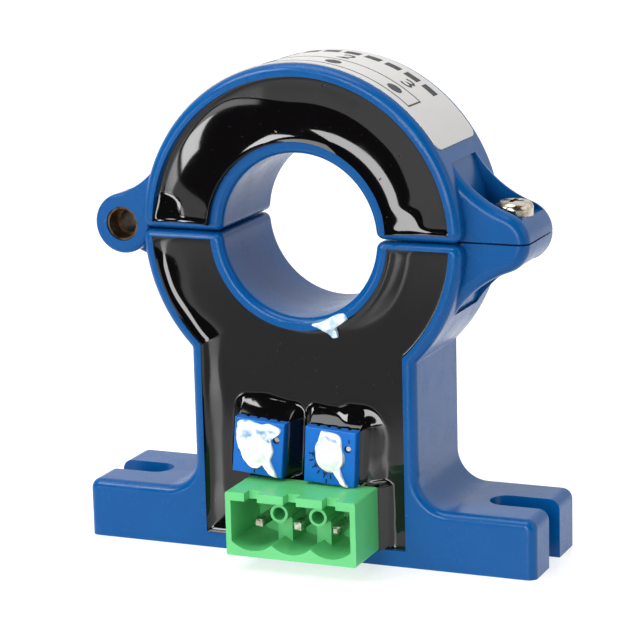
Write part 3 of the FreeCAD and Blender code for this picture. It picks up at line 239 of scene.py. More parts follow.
def cured_silicone():
    """White thread-lock sealant: opaque where thick, milky blue where it is smeared thin."""
    material, tree, where = new_material("cured_white_sealant")
    cloud = add(tree, "ShaderNodeTexNoise", {"Scale": per_metre(1.2), "Detail": 4.0},
                {"Vector": where})
    white = add(tree, "ShaderNodeMix", {"data_type": "RGBA", 6: linear("#FAFBFA"),
                                        7: linear("#E9ECEC")}, {0: cloud})
    thin = add(tree, "ShaderNodeAttribute", {"attribute_name": "thin"})
    colour = add(tree, "ShaderNodeMix", {"data_type": "RGBA", 7: linear("#3F83C2")},
                 {0: thin.outputs["Fac"], 6: white.outputs[2]})
    wrinkle = add(tree, "ShaderNodeTexNoise", {"Scale": per_metre(0.7), "Detail": 3.0},
                  {"Vector": where})
    relief = add(tree, "ShaderNodeBump", {"Strength": 0.35, "Distance": 0.07 * MM},
                 {"Height": wrinkle})
    shader = add(tree, "ShaderNodeBsdfPrincipled", {
        "IOR": 1.43, "Roughness": 0.14, "Subsurface Weight": 0.15,
        "Subsurface Radius": (0.8, 0.9, 1.0), "Subsurface Scale": 0.3 * MM},
        {"Base Color": colour.outputs[2], "Normal": relief})
    add(tree, "ShaderNodeOutputMaterial", links={"Surface": shader})
    return material


def hardened_glue():
    """Clear instant glue gone cloudy: pale grey-blue, bluer and darker where it is thin."""
    material, tree, where = new_material("hardened_glue")
    bloom = add(tree, "ShaderNodeTexNoise", {"Scale": per_metre(0.9), "Detail": 5.0},
                {"Vector": where})
    cloud = add(tree, "ShaderNodeMapRange", {"From Min": 0.4, "From Max": 0.62}, {"Value": bloom})
    white = add(tree, "ShaderNodeMix", {"data_type": "RGBA", 6: linear("#A9C6DC"),
                                        7: linear("#F2F6F7")}, {0: cloud})
    thin = add(tree, "ShaderNodeAttribute", {"attribute_name": "thin"})
    colour = add(tree, "ShaderNodeMix", {"data_type": "RGBA", 7: linear("#6D9CC6")},
                 {0: thin.outputs["Fac"], 6: white.outputs[2]})
    relief = add(tree, "ShaderNodeBump", {"Strength": 0.5, "Distance": 0.08 * MM},
                 {"Height": bloom})
    shader = add(tree, "ShaderNodeBsdfPrincipled", {"IOR": 1.46, "Roughness": 0.14},
                 {"Base Color": colour.outputs[2], "Normal": relief})
    add(tree, "ShaderNodeOutputMaterial", links={"Surface": shader})
    return material


def turned_metal(name, dark, light, roughness, mark):
    """Turned or plated metal: fine tool marks, and a dull film in patches."""
    material, tree, where = new_material(name)
    film = add(tree, "ShaderNodeTexNoise", {"Scale": per_metre(1.5), "Detail": 4.0},
               {"Vector": where})
    share = add(tree, "ShaderNodeMapRange", {"From Min": 0.4, "From Max": 0.65},
                {"Value": film})
    colour = add(tree, "ShaderNodeMix", {"data_type": "RGBA", 6: linear(light),
                                         7: linear(dark)}, {0: share})
    polish = add(tree, "ShaderNodeTexNoise", {"Scale": per_metre(0.5)}, {"Vector": where})
    gloss = add(tree, "ShaderNodeMapRange", {
        "From Min": 0.3, "From Max": 0.7, "To Min": roughness - 0.06, "To Max": roughness + 0.12},
        {"Value": polish})
    tool = add(tree, "ShaderNodeTexNoise", {"Scale": per_metre(mark)}, {"Vector": where})
    relief = add(tree, "ShaderNodeBump", {"Strength": 0.35, "Distance": 0.015 * MM},
                 {"Height": tool})
    shader = add(tree, "ShaderNodeBsdfPrincipled", {"Metallic": 1.0},
                 {"Base Color": colour.outputs[2], "Roughness": gloss, "Normal": relief})
    add(tree, "ShaderNodeOutputMaterial", links={"Surface": shader})
    return material


def polyester_label(settings):
    """Silver-grey polyester label stock: satin, with a faint roll texture."""
    material, tree, where = new_material("polyester_label")
    cloud = add(tree, "ShaderNodeTexNoise", {"Scale": per_metre(7.0)}, {"Vector": where})
    colour = add(tree, "ShaderNodeMix", {"data_type": "RGBA", 6: settings.dark_shade,
                                         7: settings.light_shade}, {0: cloud})
    roll = add(tree, "ShaderNodeTexNoise", {"Scale": per_metre(0.3)}, {"Vector": where})
    gloss = add(tree, "ShaderNodeMapRange", {
        "From Min": 0.3, "From Max": 0.7, "To Min": 0.42, "To Max": 0.55}, {"Value": roll})
    relief = add(tree, "ShaderNodeBump", {"Strength": 0.15, "Distance": 0.006 * MM},
                 {"Height": roll})
    shader = add(tree, "ShaderNodeBsdfPrincipled", {"IOR": 1.5, "Coat Weight": 0.2,
                                                    "Coat Roughness": 0.3},
                 {"Base Color": colour.outputs[2], "Roughness": gloss, "Normal": relief})
    add(tree, "ShaderNodeOutputMaterial", links={"Surface": shader})
    return material


def glass_laminate():
    """Glass-epoxy board under green solder mask, with its woven grain.

    The threads are drawn about 1.3 mm apart, coarser than they are, so that they show.
    """
    material, tree, where = new_material("glass_laminate")
    weave = add(tree, "ShaderNodeTexWave", {"Scale": per_metre(4.0)}, {"Vector": where})
    colour = add(tree, "ShaderNodeMix", {"data_type": "RGBA", 6: linear("#0B4A2B"),
                                         7: linear("#0F5A35")}, {0: weave.outputs["Fac"]})
    gloss = add(tree, "ShaderNodeMapRange", {"To Min": 0.25, "To Max": 0.4},
                {"Value": weave.outputs["Fac"]})
    relief = add(tree, "ShaderNodeBump", {"Strength": 0.2, "Distance": 0.01 * MM},
                 {"Height": weave.outputs["Fac"]})
    shader = add(tree, "ShaderNodeBsdfPrincipled", {"IOR": 1.55},
                 {"Base Color": colour.outputs[2], "Roughness": gloss, "Normal": relief})
    add(tree, "ShaderNodeOutputMaterial", links={"Surface": shader})
    return material


def painted_glow_table(settings):
    """Milky acrylic table; its glow round the object and at its front edge is painted light."""
    material, tree, where = new_material("painted_glow_table")
    cloud = add(tree, "ShaderNodeTexNoise", {"Scale": per_metre(90.0)}, {"Vector": where})
    colour = add(tree, "ShaderNodeMix", {"data_type": "RGBA", 6: linear("#A9A9A9"),
                                         7: linear("#AFAFAF")}, {0: cloud})
    axes = add(tree, "ShaderNodeSeparateXYZ", links={"Vector": where})
    # Painted light: this emission stands in for light falling round the object and for a soft
    # box's spill near the front edge.
    under = add(tree, "ShaderNodeMapRange", {
        "interpolation_type": "SMOOTHSTEP", "From Min": -0.08, "From Max": -0.045,
        "To Max": settings.glow}, {"Value": axes.outputs["Y"]})
    spill = add(tree, "ShaderNodeMapRange", {
        "interpolation_type": "SMOOTHSTEP", "From Min": -0.12, "From Max": -0.26,
        "To Max": settings.spill}, {"Value": axes.outputs["Y"]})
    glow = add(tree, "ShaderNodeMath", links={0: under, 1: spill})
    shader = add(tree, "ShaderNodeBsdfPrincipled", {
        "Roughness": 0.22, "Emission Color": linear("#FFFFFF")},
        {"Base Color": colour.outputs[2], "Emission Strength": glow})
    add(tree, "ShaderNodeOutputMaterial", links={"Surface": shader})
    return material


def studio_air(settings):
    """The room: a white backdrop behind the object, darkness in front of it."""
    world = bpy.data.worlds.new("studio")
    world.use_nodes = True
    tree = world.node_tree
    tree.nodes.clear()
    axes = add(tree, "ShaderNodeSeparateXYZ",
               links={"Vector": add(tree, "ShaderNodeTexCoord").outputs["Generated"]})
    level = add(tree, "ShaderNodeMapRange", {
        "interpolation_type": "SMOOTHSTEP", "From Min": -0.25, "From Max": 0.2,
        "To Min": settings.dark, "To Max": settings.backdrop}, {"Value": axes.outputs["Y"]})
    air = add(tree, "ShaderNodeBackground", {"Color": linear("#FFFFFF")}, {"Strength": level})
    add(tree, "ShaderNodeOutputWorld", links={"Surface": air})
    return world


def dress(names, material):
    """Puts a finish on every slot of some CAD nodes."""
    for name in names:
        mesh = frame["nodes"][name].data
        mesh.materials.clear()
        mesh.materials.append(material)


def fresh_start(piece=None):
    """Leaves edit mode and selects nothing, or only one piece, before an operator runs."""
    if bpy.context.object and bpy.context.object.mode != "OBJECT":
        bpy.ops.object.mode_set(mode="OBJECT")
    bpy.ops.object.select_all(action="DESELECT")
    if piece:
        piece.select_set(True)
        bpy.context.view_layer.objects.active = piece


def settled(piece, name, body, slot, material, *replaced):
    """Names a finished piece, puts its place in its mesh and lets it ride on its body."""
    fresh_start(piece)
    bpy.ops.object.transform_apply(location=True, rotation=True, scale=True)
    piece.name = name
    piece.data.name = name
    piece.data.materials.clear()
    piece.data.materials.append(material)
    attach(piece, body)
    if replaced:
        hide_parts(*replaced)
    return piece


def smooth_by_angle(piece, degrees):
    """Smooths a piece's shading, apart from edges that are sharper than an angle."""
    fresh_start(piece)
    bpy.ops.object.shade_smooth_by_angle(angle=math.radians(degrees))


def outward(piece):
    """Merges doubles and turns every face outwards."""
    fresh_start(piece)
    bpy.ops.object.mode_set(mode="EDIT")
    bpy.ops.mesh.select_all(action="SELECT")
    bpy.ops.mesh.remove_doubles(threshold=0.001 * MM)
    bpy.ops.mesh.normals_make_consistent(inside=False)
    bpy.ops.object.mode_set(mode="OBJECT")


def joined(pieces):
    """Makes one object of several."""
    fresh_start(pieces[0])
    for piece in pieces:
        piece.select_set(True)
    bpy.ops.object.join()
    return pieces[0]


def grid_sheet(columns, rows, point):
    """A grid primitive whose corners are moved by point(across share, up share)."""
    fresh_start()
    bpy.ops.mesh.primitive_grid_add(x_subdivisions=columns, y_subdivisions=rows, size=1)
    piece = bpy.context.object
    middle = 0.5
    for vertex in piece.data.vertices:
        vertex.co = point(vertex.co.x + middle, vertex.co.y + middle)
    return piece


def backed(piece, back):
    """Draws a sheet's border straight back to a plane and fills it, which closes the piece."""
    outward(piece)
    bpy.ops.object.mode_set(mode="EDIT")
    bpy.ops.mesh.select_mode(type="EDGE")
    bpy.ops.mesh.select_all(action="SELECT")
    bpy.ops.mesh.region_to_loop()
    bpy.ops.mesh.extrude_edges_move()
    bpy.ops.mesh.edge_face_add()
    bpy.ops.mesh.select_mode(type="VERT")
    bpy.ops.object.mode_set(mode="OBJECT")
    for vertex in piece.data.vertices:
        if vertex.select:
            vertex.co.y = back
    outward(piece)
    return piece


def closed_curve(points, share):
    """A smooth closed curve through some points, at a share of its way round."""
    place = share % 1.0 * len(points)
    turn = place % 1.0
    before, start, end, after = (Vector(points[(int(place) + step) % len(points)])
                                 for step in (-1, 0, 1, 2))
    return start + 0.5 * turn * (end - before + turn * (
        2 * before - 5 * start + 4 * end - after + turn * (3 * (start - end) + after - before)))


RIBBON_STEP = 0.3 * MM


def ribbon(path, width, place, closed=False):
    """A thin strip along a path of flat points, laid on a surface by place(point)."""
    points = [Vector(point) for point in path]
    corners = points + points[:1] if closed else points
    steps = []
    for first, second in zip(corners, corners[1:]):
        count = max(1, round((second - first).length / RIBBON_STEP))
        steps += [first.lerp(second, step / count) for step in range(count)]
    steps.append(corners[-1])

    def point(share, side):
        spot = round(share * (len(steps) - 1))
        before = steps[spot - 1 if spot else (-2 if closed else 0)]
        after = steps[spot + 1 if spot < len(steps) - 1 else (1 if closed else spot)]
        inward, onward = (steps[spot] - before).normalized(), (after - steps[spot]).normalized()
        along = (inward + onward).normalized()
        mitre = max(along.dot(onward if onward.length else along), 0.5)
        return place(steps[spot] + Vector((-along.y, along.x)) * (side - 0.5) * width / mitre)

    return solid_film(grid_sheet(len(steps) - 1, 1, point))


def disc(middle, radius, place):
    """A thin round patch laid on a surface: a square grid, drawn out to a circle."""
    def point(across, up):
        x, y = 2 * across - 1, 2 * up - 1
        flat = Vector((x * math.sqrt(1 - y * y / 2), y * math.sqrt(1 - x * x / 2)))
        return place(Vector(middle) + flat * radius)

    return solid_film(grid_sheet(12, 12, point))


def solid_film(piece, thickness=0.03 * MM):
    """Gives a sheet a film's thickness, half to either side."""
    fresh_start(piece)
    film = piece.modifiers.new("film", "SOLIDIFY")
    film.thickness = thickness
    film.offset = 0.0
    bpy.ops.object.modifier_apply(modifier="film")
    outward(piece)
    return piece


def shade(name, description, colour):
    """A colour that a user can change."""
    return bpy.props.FloatVectorProperty(
        name=name, description=description, default=linear(colour), size=4, subtype="COLOR",
        min=0.0, max=1.0)


class HousingSettings(bpy.types.PropertyGroup):
    dark_shade: shade("Dark shade", "The dyed plastic's darker shade", "#004580")
    light_shade: shade("Light shade", "The dyed plastic's lighter shade", "#00508E")
    roughness: bpy.props.FloatProperty(
        name="Roughness", description="Gloss of the moulded housing", default=0.24,
        min=0.05, max=0.9)


class HeaderSettings(bpy.types.PropertyGroup):
    dark_shade: shade("Dark shade", "The header plastic's darker shade", "#4AB266")
    light_shade: shade("Light shade", "The header plastic's lighter shade", "#62C77D")


class LabelSettings(bpy.types.PropertyGroup):
    dark_shade: shade("Dark shade", "The label film's darker shade", "#C0BEBB")
    light_shade: shade("Light shade", "The label film's lighter shade", "#CBC9C6")
    digit: bpy.props.FloatProperty(
        name="Digit", description="Height of the printed digits", default=2.2 * MM,
        unit="LENGTH")


class ResinSettings(bpy.types.PropertyGroup):
    roughness: bpy.props.FloatProperty(
        name="Roughness", description="Gloss of the poured resin", default=0.05,
        min=0.0, max=0.5)
    level: bpy.props.FloatProperty(
        name="Level", description="Resin surface behind the rim", default=1.1 * MM,
        unit="LENGTH")
    swell: bpy.props.FloatProperty(
        name="Swell", description="Height that the resin gains towards the conductor tube",
        default=0.86 * MM, unit="LENGTH")
    lip: bpy.props.FloatProperty(
        name="Lip", description="Height of the thin edge that climbs the walls",
        default=0.28 * MM, unit="LENGTH")
    mound: bpy.props.FloatProperty(
        name="Mound", description="Height of the resin heaped round the trimmers",
        default=1.7 * MM, unit="LENGTH")


class SealantSettings(bpy.types.PropertyGroup):
    dome: bpy.props.FloatProperty(
        name="Dome", description="Height of the blob on a dial", default=0.62 * MM,
        unit="LENGTH")
    lip: bpy.props.FloatProperty(
        name="Lip", description="Height of the splash's edge", default=0.22 * MM, unit="LENGTH")


class StageSettings(bpy.types.PropertyGroup):
    azimuth: bpy.props.FloatProperty(
        name="Azimuth", description="Camera, round from the front to the right",
        default=math.radians(23.1379), subtype="ANGLE")
    elevation: bpy.props.FloatProperty(
        name="Elevation", description="Camera, above the horizon",
        default=math.radians(12.7587), subtype="ANGLE")
    roll: bpy.props.FloatProperty(
        name="Roll", description="Camera, about its own axis",
        default=math.radians(-1.455), subtype="ANGLE")
    distance: bpy.props.FloatProperty(
        name="Distance", description="Camera to the point it looks at",
        default=320.33 * MM, unit="LENGTH")
    lens: bpy.props.FloatProperty(
        name="Lens", description="Focal length on a 36 mm sensor", default=146.43,
        unit="CAMERA")
    target: bpy.props.FloatVectorProperty(
        name="Target", description="Point that the camera looks at",
        default=(-0.4519 * MM, 0.0, 28.167 * MM), subtype="TRANSLATION")
    # Glow and spill are painted light: the table emits them itself, in place of light falling on
    # it.
    glow: bpy.props.FloatProperty(
        name="Glow", description="Light that the table gives round the object", default=0.68)
    spill: bpy.props.FloatProperty(
        name="Spill", description="Light that the table gives near its front edge", default=0.75)
    backdrop: bpy.props.FloatProperty(
        name="Backdrop", description="Brightness behind the object", default=1.05)
    dark: bpy.props.FloatProperty(
        name="Dark side", description="Brightness in front of the object", default=0.03)


def lower_tray_edge(share):
    """The lower tray's outer wall, from the parting on the right, under, to the left."""
    side = 1 if share <= 0.5 else -1
    along = 2 * share if side > 0 else 2 * (1 - share)
    shoulder = math.acos(TRAY_HALF / TRAY_RADIUS)
    start = math.asin(TRAY_END / TRAY_RADIUS)
    shoulder_drop = TRAY_RADIUS * math.sin(shoulder)
    floor_drop = BORE.z - TRAY_FLOOR
    ring_share, wall_share = 0.36, 0.78
    if along < ring_share:
        angle = start + (shoulder - start) * along / ring_share
        return Vector((side * TRAY_RADIUS * math.cos(angle), -TRAY_RADIUS * math.sin(angle)))
    if along < wall_share:
        part = (along - ring_share) / (wall_share - ring_share)
        return Vector((side * TRAY_HALF, -(shoulder_drop + (floor_drop - shoulder_drop) * part)))
    part = (along - wall_share) / (1 - wall_share)
    return Vector((side * TRAY_HALF * (1 - part), -floor_drop))


def upper_tray_edge(share):
    """The upper tray's outer wall, from the parting on the right, over, to the left."""
    start = math.asin(TRAY_END / TRAY_RADIUS)
    angle = start + (math.pi - 2 * start) * share
    return Vector((TRAY_RADIUS * math.cos(angle), TRAY_RADIUS * math.sin(angle)))


def tube_edge(share, side):
    """The bore tube's outside, in step with the tray's edge: side 1 is above, -1 below."""
    start = math.asin(TRAY_END / TUBE_RADIUS)
    angle = start + (math.pi - 2 * start) * share
    return Vector((TUBE_RADIUS * math.cos(angle), side * TUBE_RADIUS * math.sin(angle)))


def wall_gaps(across, up):
    """Distances from a point in a tray to the tube, the parting's end walls and the outer wall."""
    radius = math.hypot(across, up)
    in_pillar = min(TRAY_HALF - abs(across), up + BORE.z - TRAY_FLOOR) if up < 0 else 0.0
    outer = max(TRAY_RADIUS - radius, in_pillar)
    return [max(gap, 0.0) for gap in (radius - TUBE_RADIUS, abs(up) - TRAY_END, outer)]


def rectangle_gap(across, up, middle, half):
    """Signed distance from a point to an upright rectangle, negative inside."""
    over = [abs(across - middle[0]) - half[0], abs(up - middle[1]) - half[1]]
    return math.hypot(max(over[0], 0.0), max(over[1], 0.0)) + min(max(over), 0.0)


def node_rectangle(name):
    """A node's middle and half sizes seen from the front, from the bore's axis."""
    low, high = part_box(name)
    middle = ((low.x + high.x) / 2, (low.z + high.z) / 2 - BORE.z)
    return middle, ((high.x - low.x) / 2, (high.z - low.z) / 2)


# The trimmers' faces and the header, seen from the front: half sizes, leans and middles.
TRIMMER_HALF = (3.3 * MM, 3.45 * MM)
TRIMMER_LEAN = {"zero": math.radians(4.8), "gain": math.radians(3.1)}
TRIMMER_MIDDLE = {name: node_rectangle(f"{name}_trimmer_case")[0] for name in TRIMMER_LEAN}
HEADER = node_rectangle("header_housing")

# A low foot of resin spreads out to the right of the gain trimmer's steep heap.
FOOT_MIDDLE = (TRIMMER_MIDDLE["gain"][0] + 2.4 * MM, TRIMMER_MIDDLE["gain"][1])
FOOT_HALF = (0.7 * MM, 3.3 * MM)
FOOT_RISE = 1.1 * MM

# How far the resin heaps out round each part: to the left, right, downwards and upwards.
HEAP_REACH = {"zero": (1.7 * MM, 2.2 * MM, 0.6 * MM, 2.7 * MM),
              "gain": (1.6 * MM, 1.9 * MM, 0.6 * MM, 2.4 * MM),
              "gain_foot": (3.4 * MM, 4.4 * MM, 0.6 * MM, 3.7 * MM),
              "header": (0.5 * MM, 1.7 * MM, 0.6 * MM, 0.7 * MM)}
HEAP_CURVE = 1.3

# The upper resin's swell towards the tube. On the left it is broader, higher and straighter,
# and the whole surface lies a little deeper. Each end rises again near one of its corners.
SWELL_SIDE = 12 * MM
SWELL_BREADTH, SWELL_BROADER = 4.6 * MM, 2.9 * MM
SWELL_HIGHER = 0.6
SWELL_CURVE, SWELL_STRAIGHTER = 1.8, 0.3
SWELL_SINK = 0.22 * MM
END_RISE = 0.7 * MM
END_START, END_REACH = 0.2 * MM, 3.6 * MM
CORNER_START, CORNER_REACH = 0.8 * MM, 4.6 * MM

# The lower resin's bank against its outer wall, which is higher and wider on the left.
BANK_SIDE, BANK_FADE = 6 * MM, 8 * MM
BANK_RISE, BANK_HIGHER = 0.1 * MM, 0.9 * MM
BANK_WIDTH, BANK_WIDER = 0.4 * MM, 1.4 * MM
BANK_WANDER = 0.5

# A low ring of resin along the tube, right of the middle and down to a depth below the bore.
RING_RISE = 0.65 * MM
RING_START, RING_REACH = 0.7 * MM, 3.0 * MM
RING_SIDE, RING_FADE = 2 * MM, 5 * MM
RING_DEPTH, RING_DEPTH_FADE = 6 * MM, 9 * MM


def hill(gap, flat, fade):
    """1 up to a flat width from something, then down to 0 in a smooth curve."""
    return 0.5 + 0.5 * math.cos(math.pi * min(max((gap - flat) / fade, 0.0), 1.0))


def lip(gap, share, width):
    """The thin edge that climbs a wall, at a gap from it: its share of the lip's height."""
    return share * math.exp(-gap / width)


def upper_pour(across, up, settings):
    """Rise of the upper resin: a swell round the tube and towards the end walls, thin lips."""
    tube, end, wall = wall_gaps(across, up)
    leftness = hill(across + SWELL_SIDE, 0.0, SWELL_SIDE)
    breadth = SWELL_BREADTH + SWELL_BROADER * leftness
    height = settings.swell * (1 + SWELL_HIGHER * leftness)
    curve = SWELL_CURVE - SWELL_STRAIGHTER * leftness
    swell = height * max(1 - tube / breadth, 0.0) ** curve
    corner = tube if across > 0 else wall
    ends = (END_RISE * hill(end, END_START, END_REACH)
            * hill(corner, CORNER_START, CORNER_REACH))
    lips = lip(tube, 1.4, 0.5 * MM) + lip(wall, 0.6, 0.2 * MM) + lip(end, 0.9, 0.25 * MM)
    return math.hypot(swell, ends) + settings.lip * lips - SWELL_SINK * leftness


def spread(name, across, up, middle, half, lean):
    """Share of a heap's reach at which a point lies: 0 at the part itself, 1 at its outside."""
    left, right, below, above = HEAP_REACH[name]
    local = Matrix.Rotation(lean, 2) @ (Vector((across, up)) - Vector(middle))
    wander = 1 + 0.16 * noise.noise(Vector((across, up, 4.0)) * 300)
    beside = max(abs(local.x) - half[0], 0.0) / (right if local.x > 0 else left)
    beyond = max(abs(local.y) - half[1], 0.0) / (above if local.y > 0 else below)
    return math.hypot(beside, beyond) * wander


def heap(height, *place):
    """Rise of the resin that climbs steeply round one part."""
    return height * max(1 - spread(*place), 0.0) ** HEAP_CURVE


def merged(first, second, blend=0.3 * MM):
    """The higher of two rises, with a soft valley where they cross."""
    share = min(max(0.5 + 0.5 * (first - second) / blend, 0.0), 1.0)
    return second + (first - second) * share + blend * share * (1 - share)


def lower_pour(across, up, settings):
    """Rise of the lower resin: a bank at the wall, a ring at the tube, heaps round the parts.

    Inside the header's shell it lies behind the tray's own level, out of the socket.
    """
    tube, end, wall = wall_gaps(across, up)
    leftness = hill(across + BANK_SIDE, 0.0, BANK_FADE)
    wander = 1 + BANK_WANDER * noise.noise(Vector((across, up, 7.0)) * 160)
    bank_width = (BANK_WIDTH + BANK_WIDER * leftness) * wander
    bank = (BANK_RISE + BANK_HIGHER * leftness) * math.exp(-wall / bank_width)
    rightness = (hill(RING_SIDE - across, 0.0, RING_FADE)
                 * hill(-up - RING_DEPTH, 0.0, RING_DEPTH_FADE))
    ring = RING_RISE * rightness * hill(tube, RING_START, RING_REACH)
    lips = lip(tube, 1.0, 0.2 * MM) + lip(wall, 1.0, 0.22 * MM) + lip(end, 0.8, 0.2 * MM)
    rise = bank + ring + settings.lip * lips
    foot = spread("gain_foot", across, up, FOOT_MIDDLE, FOOT_HALF, 0.0)
    rise = merged(rise, FOOT_RISE * hill(foot, 0.0, 1.0))
    for name, lean in TRIMMER_LEAN.items():
        rise = merged(rise, heap(settings.mound, name, across, up, TRIMMER_MIDDLE[name],
                                 TRIMMER_HALF, lean))
    rise = merged(rise, heap(settings.mound, "header", across, up, *HEADER, 0.0))
    inside = -rectangle_gap(across, up, *HEADER)
    return rise if inside < HEADER_WALL else -HEADER_SINK


SAG_DEPTH = 0.035 * MM


def resin_slab(name, edge, side, grid, pour, body, node, settings, material):
    """Resin in one tray: a front sheet laid between tube and wall, closed at the tray's back."""
    def point(share, out):
        inner, outer = tube_edge(share, side), edge(share)
        spot = inner.lerp(outer, out)
        sag = noise.noise(Vector((spot.x, spot.y, side)) * 140) * SAG_DEPTH
        rise = pour(spot.x, spot.y, settings) + sag
        return Vector((spot.x, RIM + settings.level - rise, BORE.z + spot.y))

    piece = backed(grid_sheet(*grid, point), TRAY_BACK)
    smooth_by_angle(piece, 50)
    return settled(piece, name, body, "potting_resin", material, node)


class SENSOR_OT_housing(bpy.types.Operator):
    """Finishes both halves of the housing"""
    bl_idname = "sensor.housing"
    bl_label = "Housing"

    def execute(self, context):
        dress(["lower_housing", "upper_housing"], moulded_abs(context.scene.sensor_housing))
        return {"FINISHED"}


class SENSOR_OT_resin(bpy.types.Operator):
    """Pours the black resin into both trays"""
    bl_idname = "sensor.resin"
    bl_label = "Resin"

    def execute(self, context):
        settings = context.scene.sensor_resin
        epoxy = cast_epoxy(settings)
        resin_slab("upper_resin", upper_tray_edge, 1, (420, 70), upper_pour, UPPER,
                   "upper_potting", settings, epoxy)
        resin_slab("lower_resin", lower_tray_edge, -1, (600, 150), lower_pour, LOWER,
                   "lower_potting", settings, epoxy)
        return {"FINISHED"}


class SENSOR_OT_circuit(bpy.types.Operator):
    """Finishes the parts that the resin hides"""
    bl_idname = "sensor.circuit"
    bl_label = "Circuit"

    def execute(self, context):
        moulded = fine_grained("moulding_compound", "#1D1D1F", "#29292C", 0.5)
        ferrite = fine_grained("sintered_ferrite", "#2B2C2F", "#3A3B3E", 0.6)
        dress(["lower_core_left", "lower_core_right", "upper_core"], ferrite)
        dress(["hall_element", "amplifier_chip", "regulator_chip", "board_resistors"], moulded)
        dress(["board_capacitors"], fine_grained("fired_ceramic", "#8E7254", "#A68A68", 0.45))
        dress(["circuit_board"], glass_laminate())
        dress(["hall_leads"], turned_metal("tinned_copper", "#9C9A93", "#C9C7C0", 0.3, 0.3))
        return {"FINISHED"}


class SENSOR_OT_header(bpy.types.Operator):
    """Finishes the terminal header and its pins"""
    bl_idname = "sensor.header"
    bl_label = "Terminal header"

    def execute(self, context):
        dress(["header_housing"], moulded_pbt(context.scene.sensor_header))
        pins = [f"header_pin_{number}" for number in (1, 2, 3)]
        dress(pins, turned_metal("tinned_pin", "#8B8371", "#E6E2D6", 0.24, 0.4))
        return {"FINISHED"}


def dial_spot(name, point, lift=0.0):
    """A point of a trimmer's face, given across and up it, as a place in front of it."""
    turned = Matrix.Rotation(-TRIMMER_LEAN[name], 2) @ Vector(point)
    middle = TRIMMER_MIDDLE[name]
    return Vector((middle[0] + turned.x, FACE - lift, BORE.z + middle[1] + turned.y))


class SENSOR_OT_trimmers(bpy.types.Operator):
    """Finishes the two trimmers and marks their dials"""
    bl_idname = "sensor.trimmers"
    bl_label = "Trimmers"

    def execute(self, context):
        cases = fine_grained("moulded_trimmer_case", "#005AAE", "#0468BE", 0.34)
        rotors = fine_grained("moulded_rotor", "#D8D8D2", "#E6E6E0", 0.4)
        brass = turned_metal("plated_brass", "#6E6048", "#D8D0BC", 0.25, 0.3)
        for name in TRIMMER_LEAN:
            dress([f"{name}_trimmer_case"], cases)
            dress([f"{name}_trimmer_rotor"], rotors)
            dress([f"{name}_trimmer_pins"], brass)
        # The graduations are dark blue strips laid on the face: painted shade where engraved
        # grooves lie.
        marks = fine_grained("engraving_painted_shade", "#04101C", "#0A1C30", 0.5)
        for name in TRIMMER_LEAN:
            self.ticks(name, marks)
        return {"FINISHED"}

    def ticks(self, name, material):
        """Painted-shade graduations round a dial, every second one with a bar across its foot."""
        def place(point):
            return dial_spot(name, point, 0.02 * MM)

        inner, outer, width = 2.15 * MM, 2.7 * MM, 0.17 * MM
        half_bar, bar_width = 0.28 * MM, 0.15 * MM
        bars = []
        for count, degrees in enumerate(range(175, 276, 20)):
            out = Vector((math.cos(math.radians(degrees)), math.sin(math.radians(degrees))))
            cross = Vector((-out.y, out.x)) * half_bar
            foot = out * inner
            bars.append(ribbon([foot, out * outer], width, place))
            if count % 2 == 0:
                bars.append(ribbon([foot - cross, foot + cross], bar_width, place))
        down = Vector((-0.35, -2.75)) * MM
        bars.append(ribbon([down, down + Vector((0.0, -0.5)) * MM], width, place))
        bars.append(ribbon([(2.45 * MM, 2.1 * MM), (2.45 * MM, 2.55 * MM)], 0.13 * MM, place))
        settled(joined(bars), f"{name}_dial_ticks", LOWER, "trimmer_plastic", material)


def splash(name, outline, heart, height, place, back, slot, material, replaced):
    """A set blob inside an outline: height(point, share) is its rise, share 1 at its edge."""
    def point(turn, out):
        spot = Vector(heart).lerp(closed_curve(outline, turn), out) * MM
        return place(spot, height(spot, out))

    opaque, fade, clearest = 0.30 * MM, 0.14 * MM, 0.85
    piece = backed(grid_sheet(168, 30, point), back)
    thin = piece.data.attributes.new("thin", "FLOAT", "POINT").data
    for vertex, value in zip(piece.data.vertices, thin):
        rise = back + 0.02 * MM - vertex.co.y
        value.value = min(max((opaque - rise) / fade, 0.0), clearest)
    smooth_by_angle(piece, 60)
    return settled(piece, name, LOWER, slot, material, replaced)


def edge_round(share, start=0.93):
    """Brings a blob's rise to nothing over its outermost part."""
    return math.sqrt(max(0.0, 1 - (max(share - start, 0.0) / (1 - start)) ** 2))


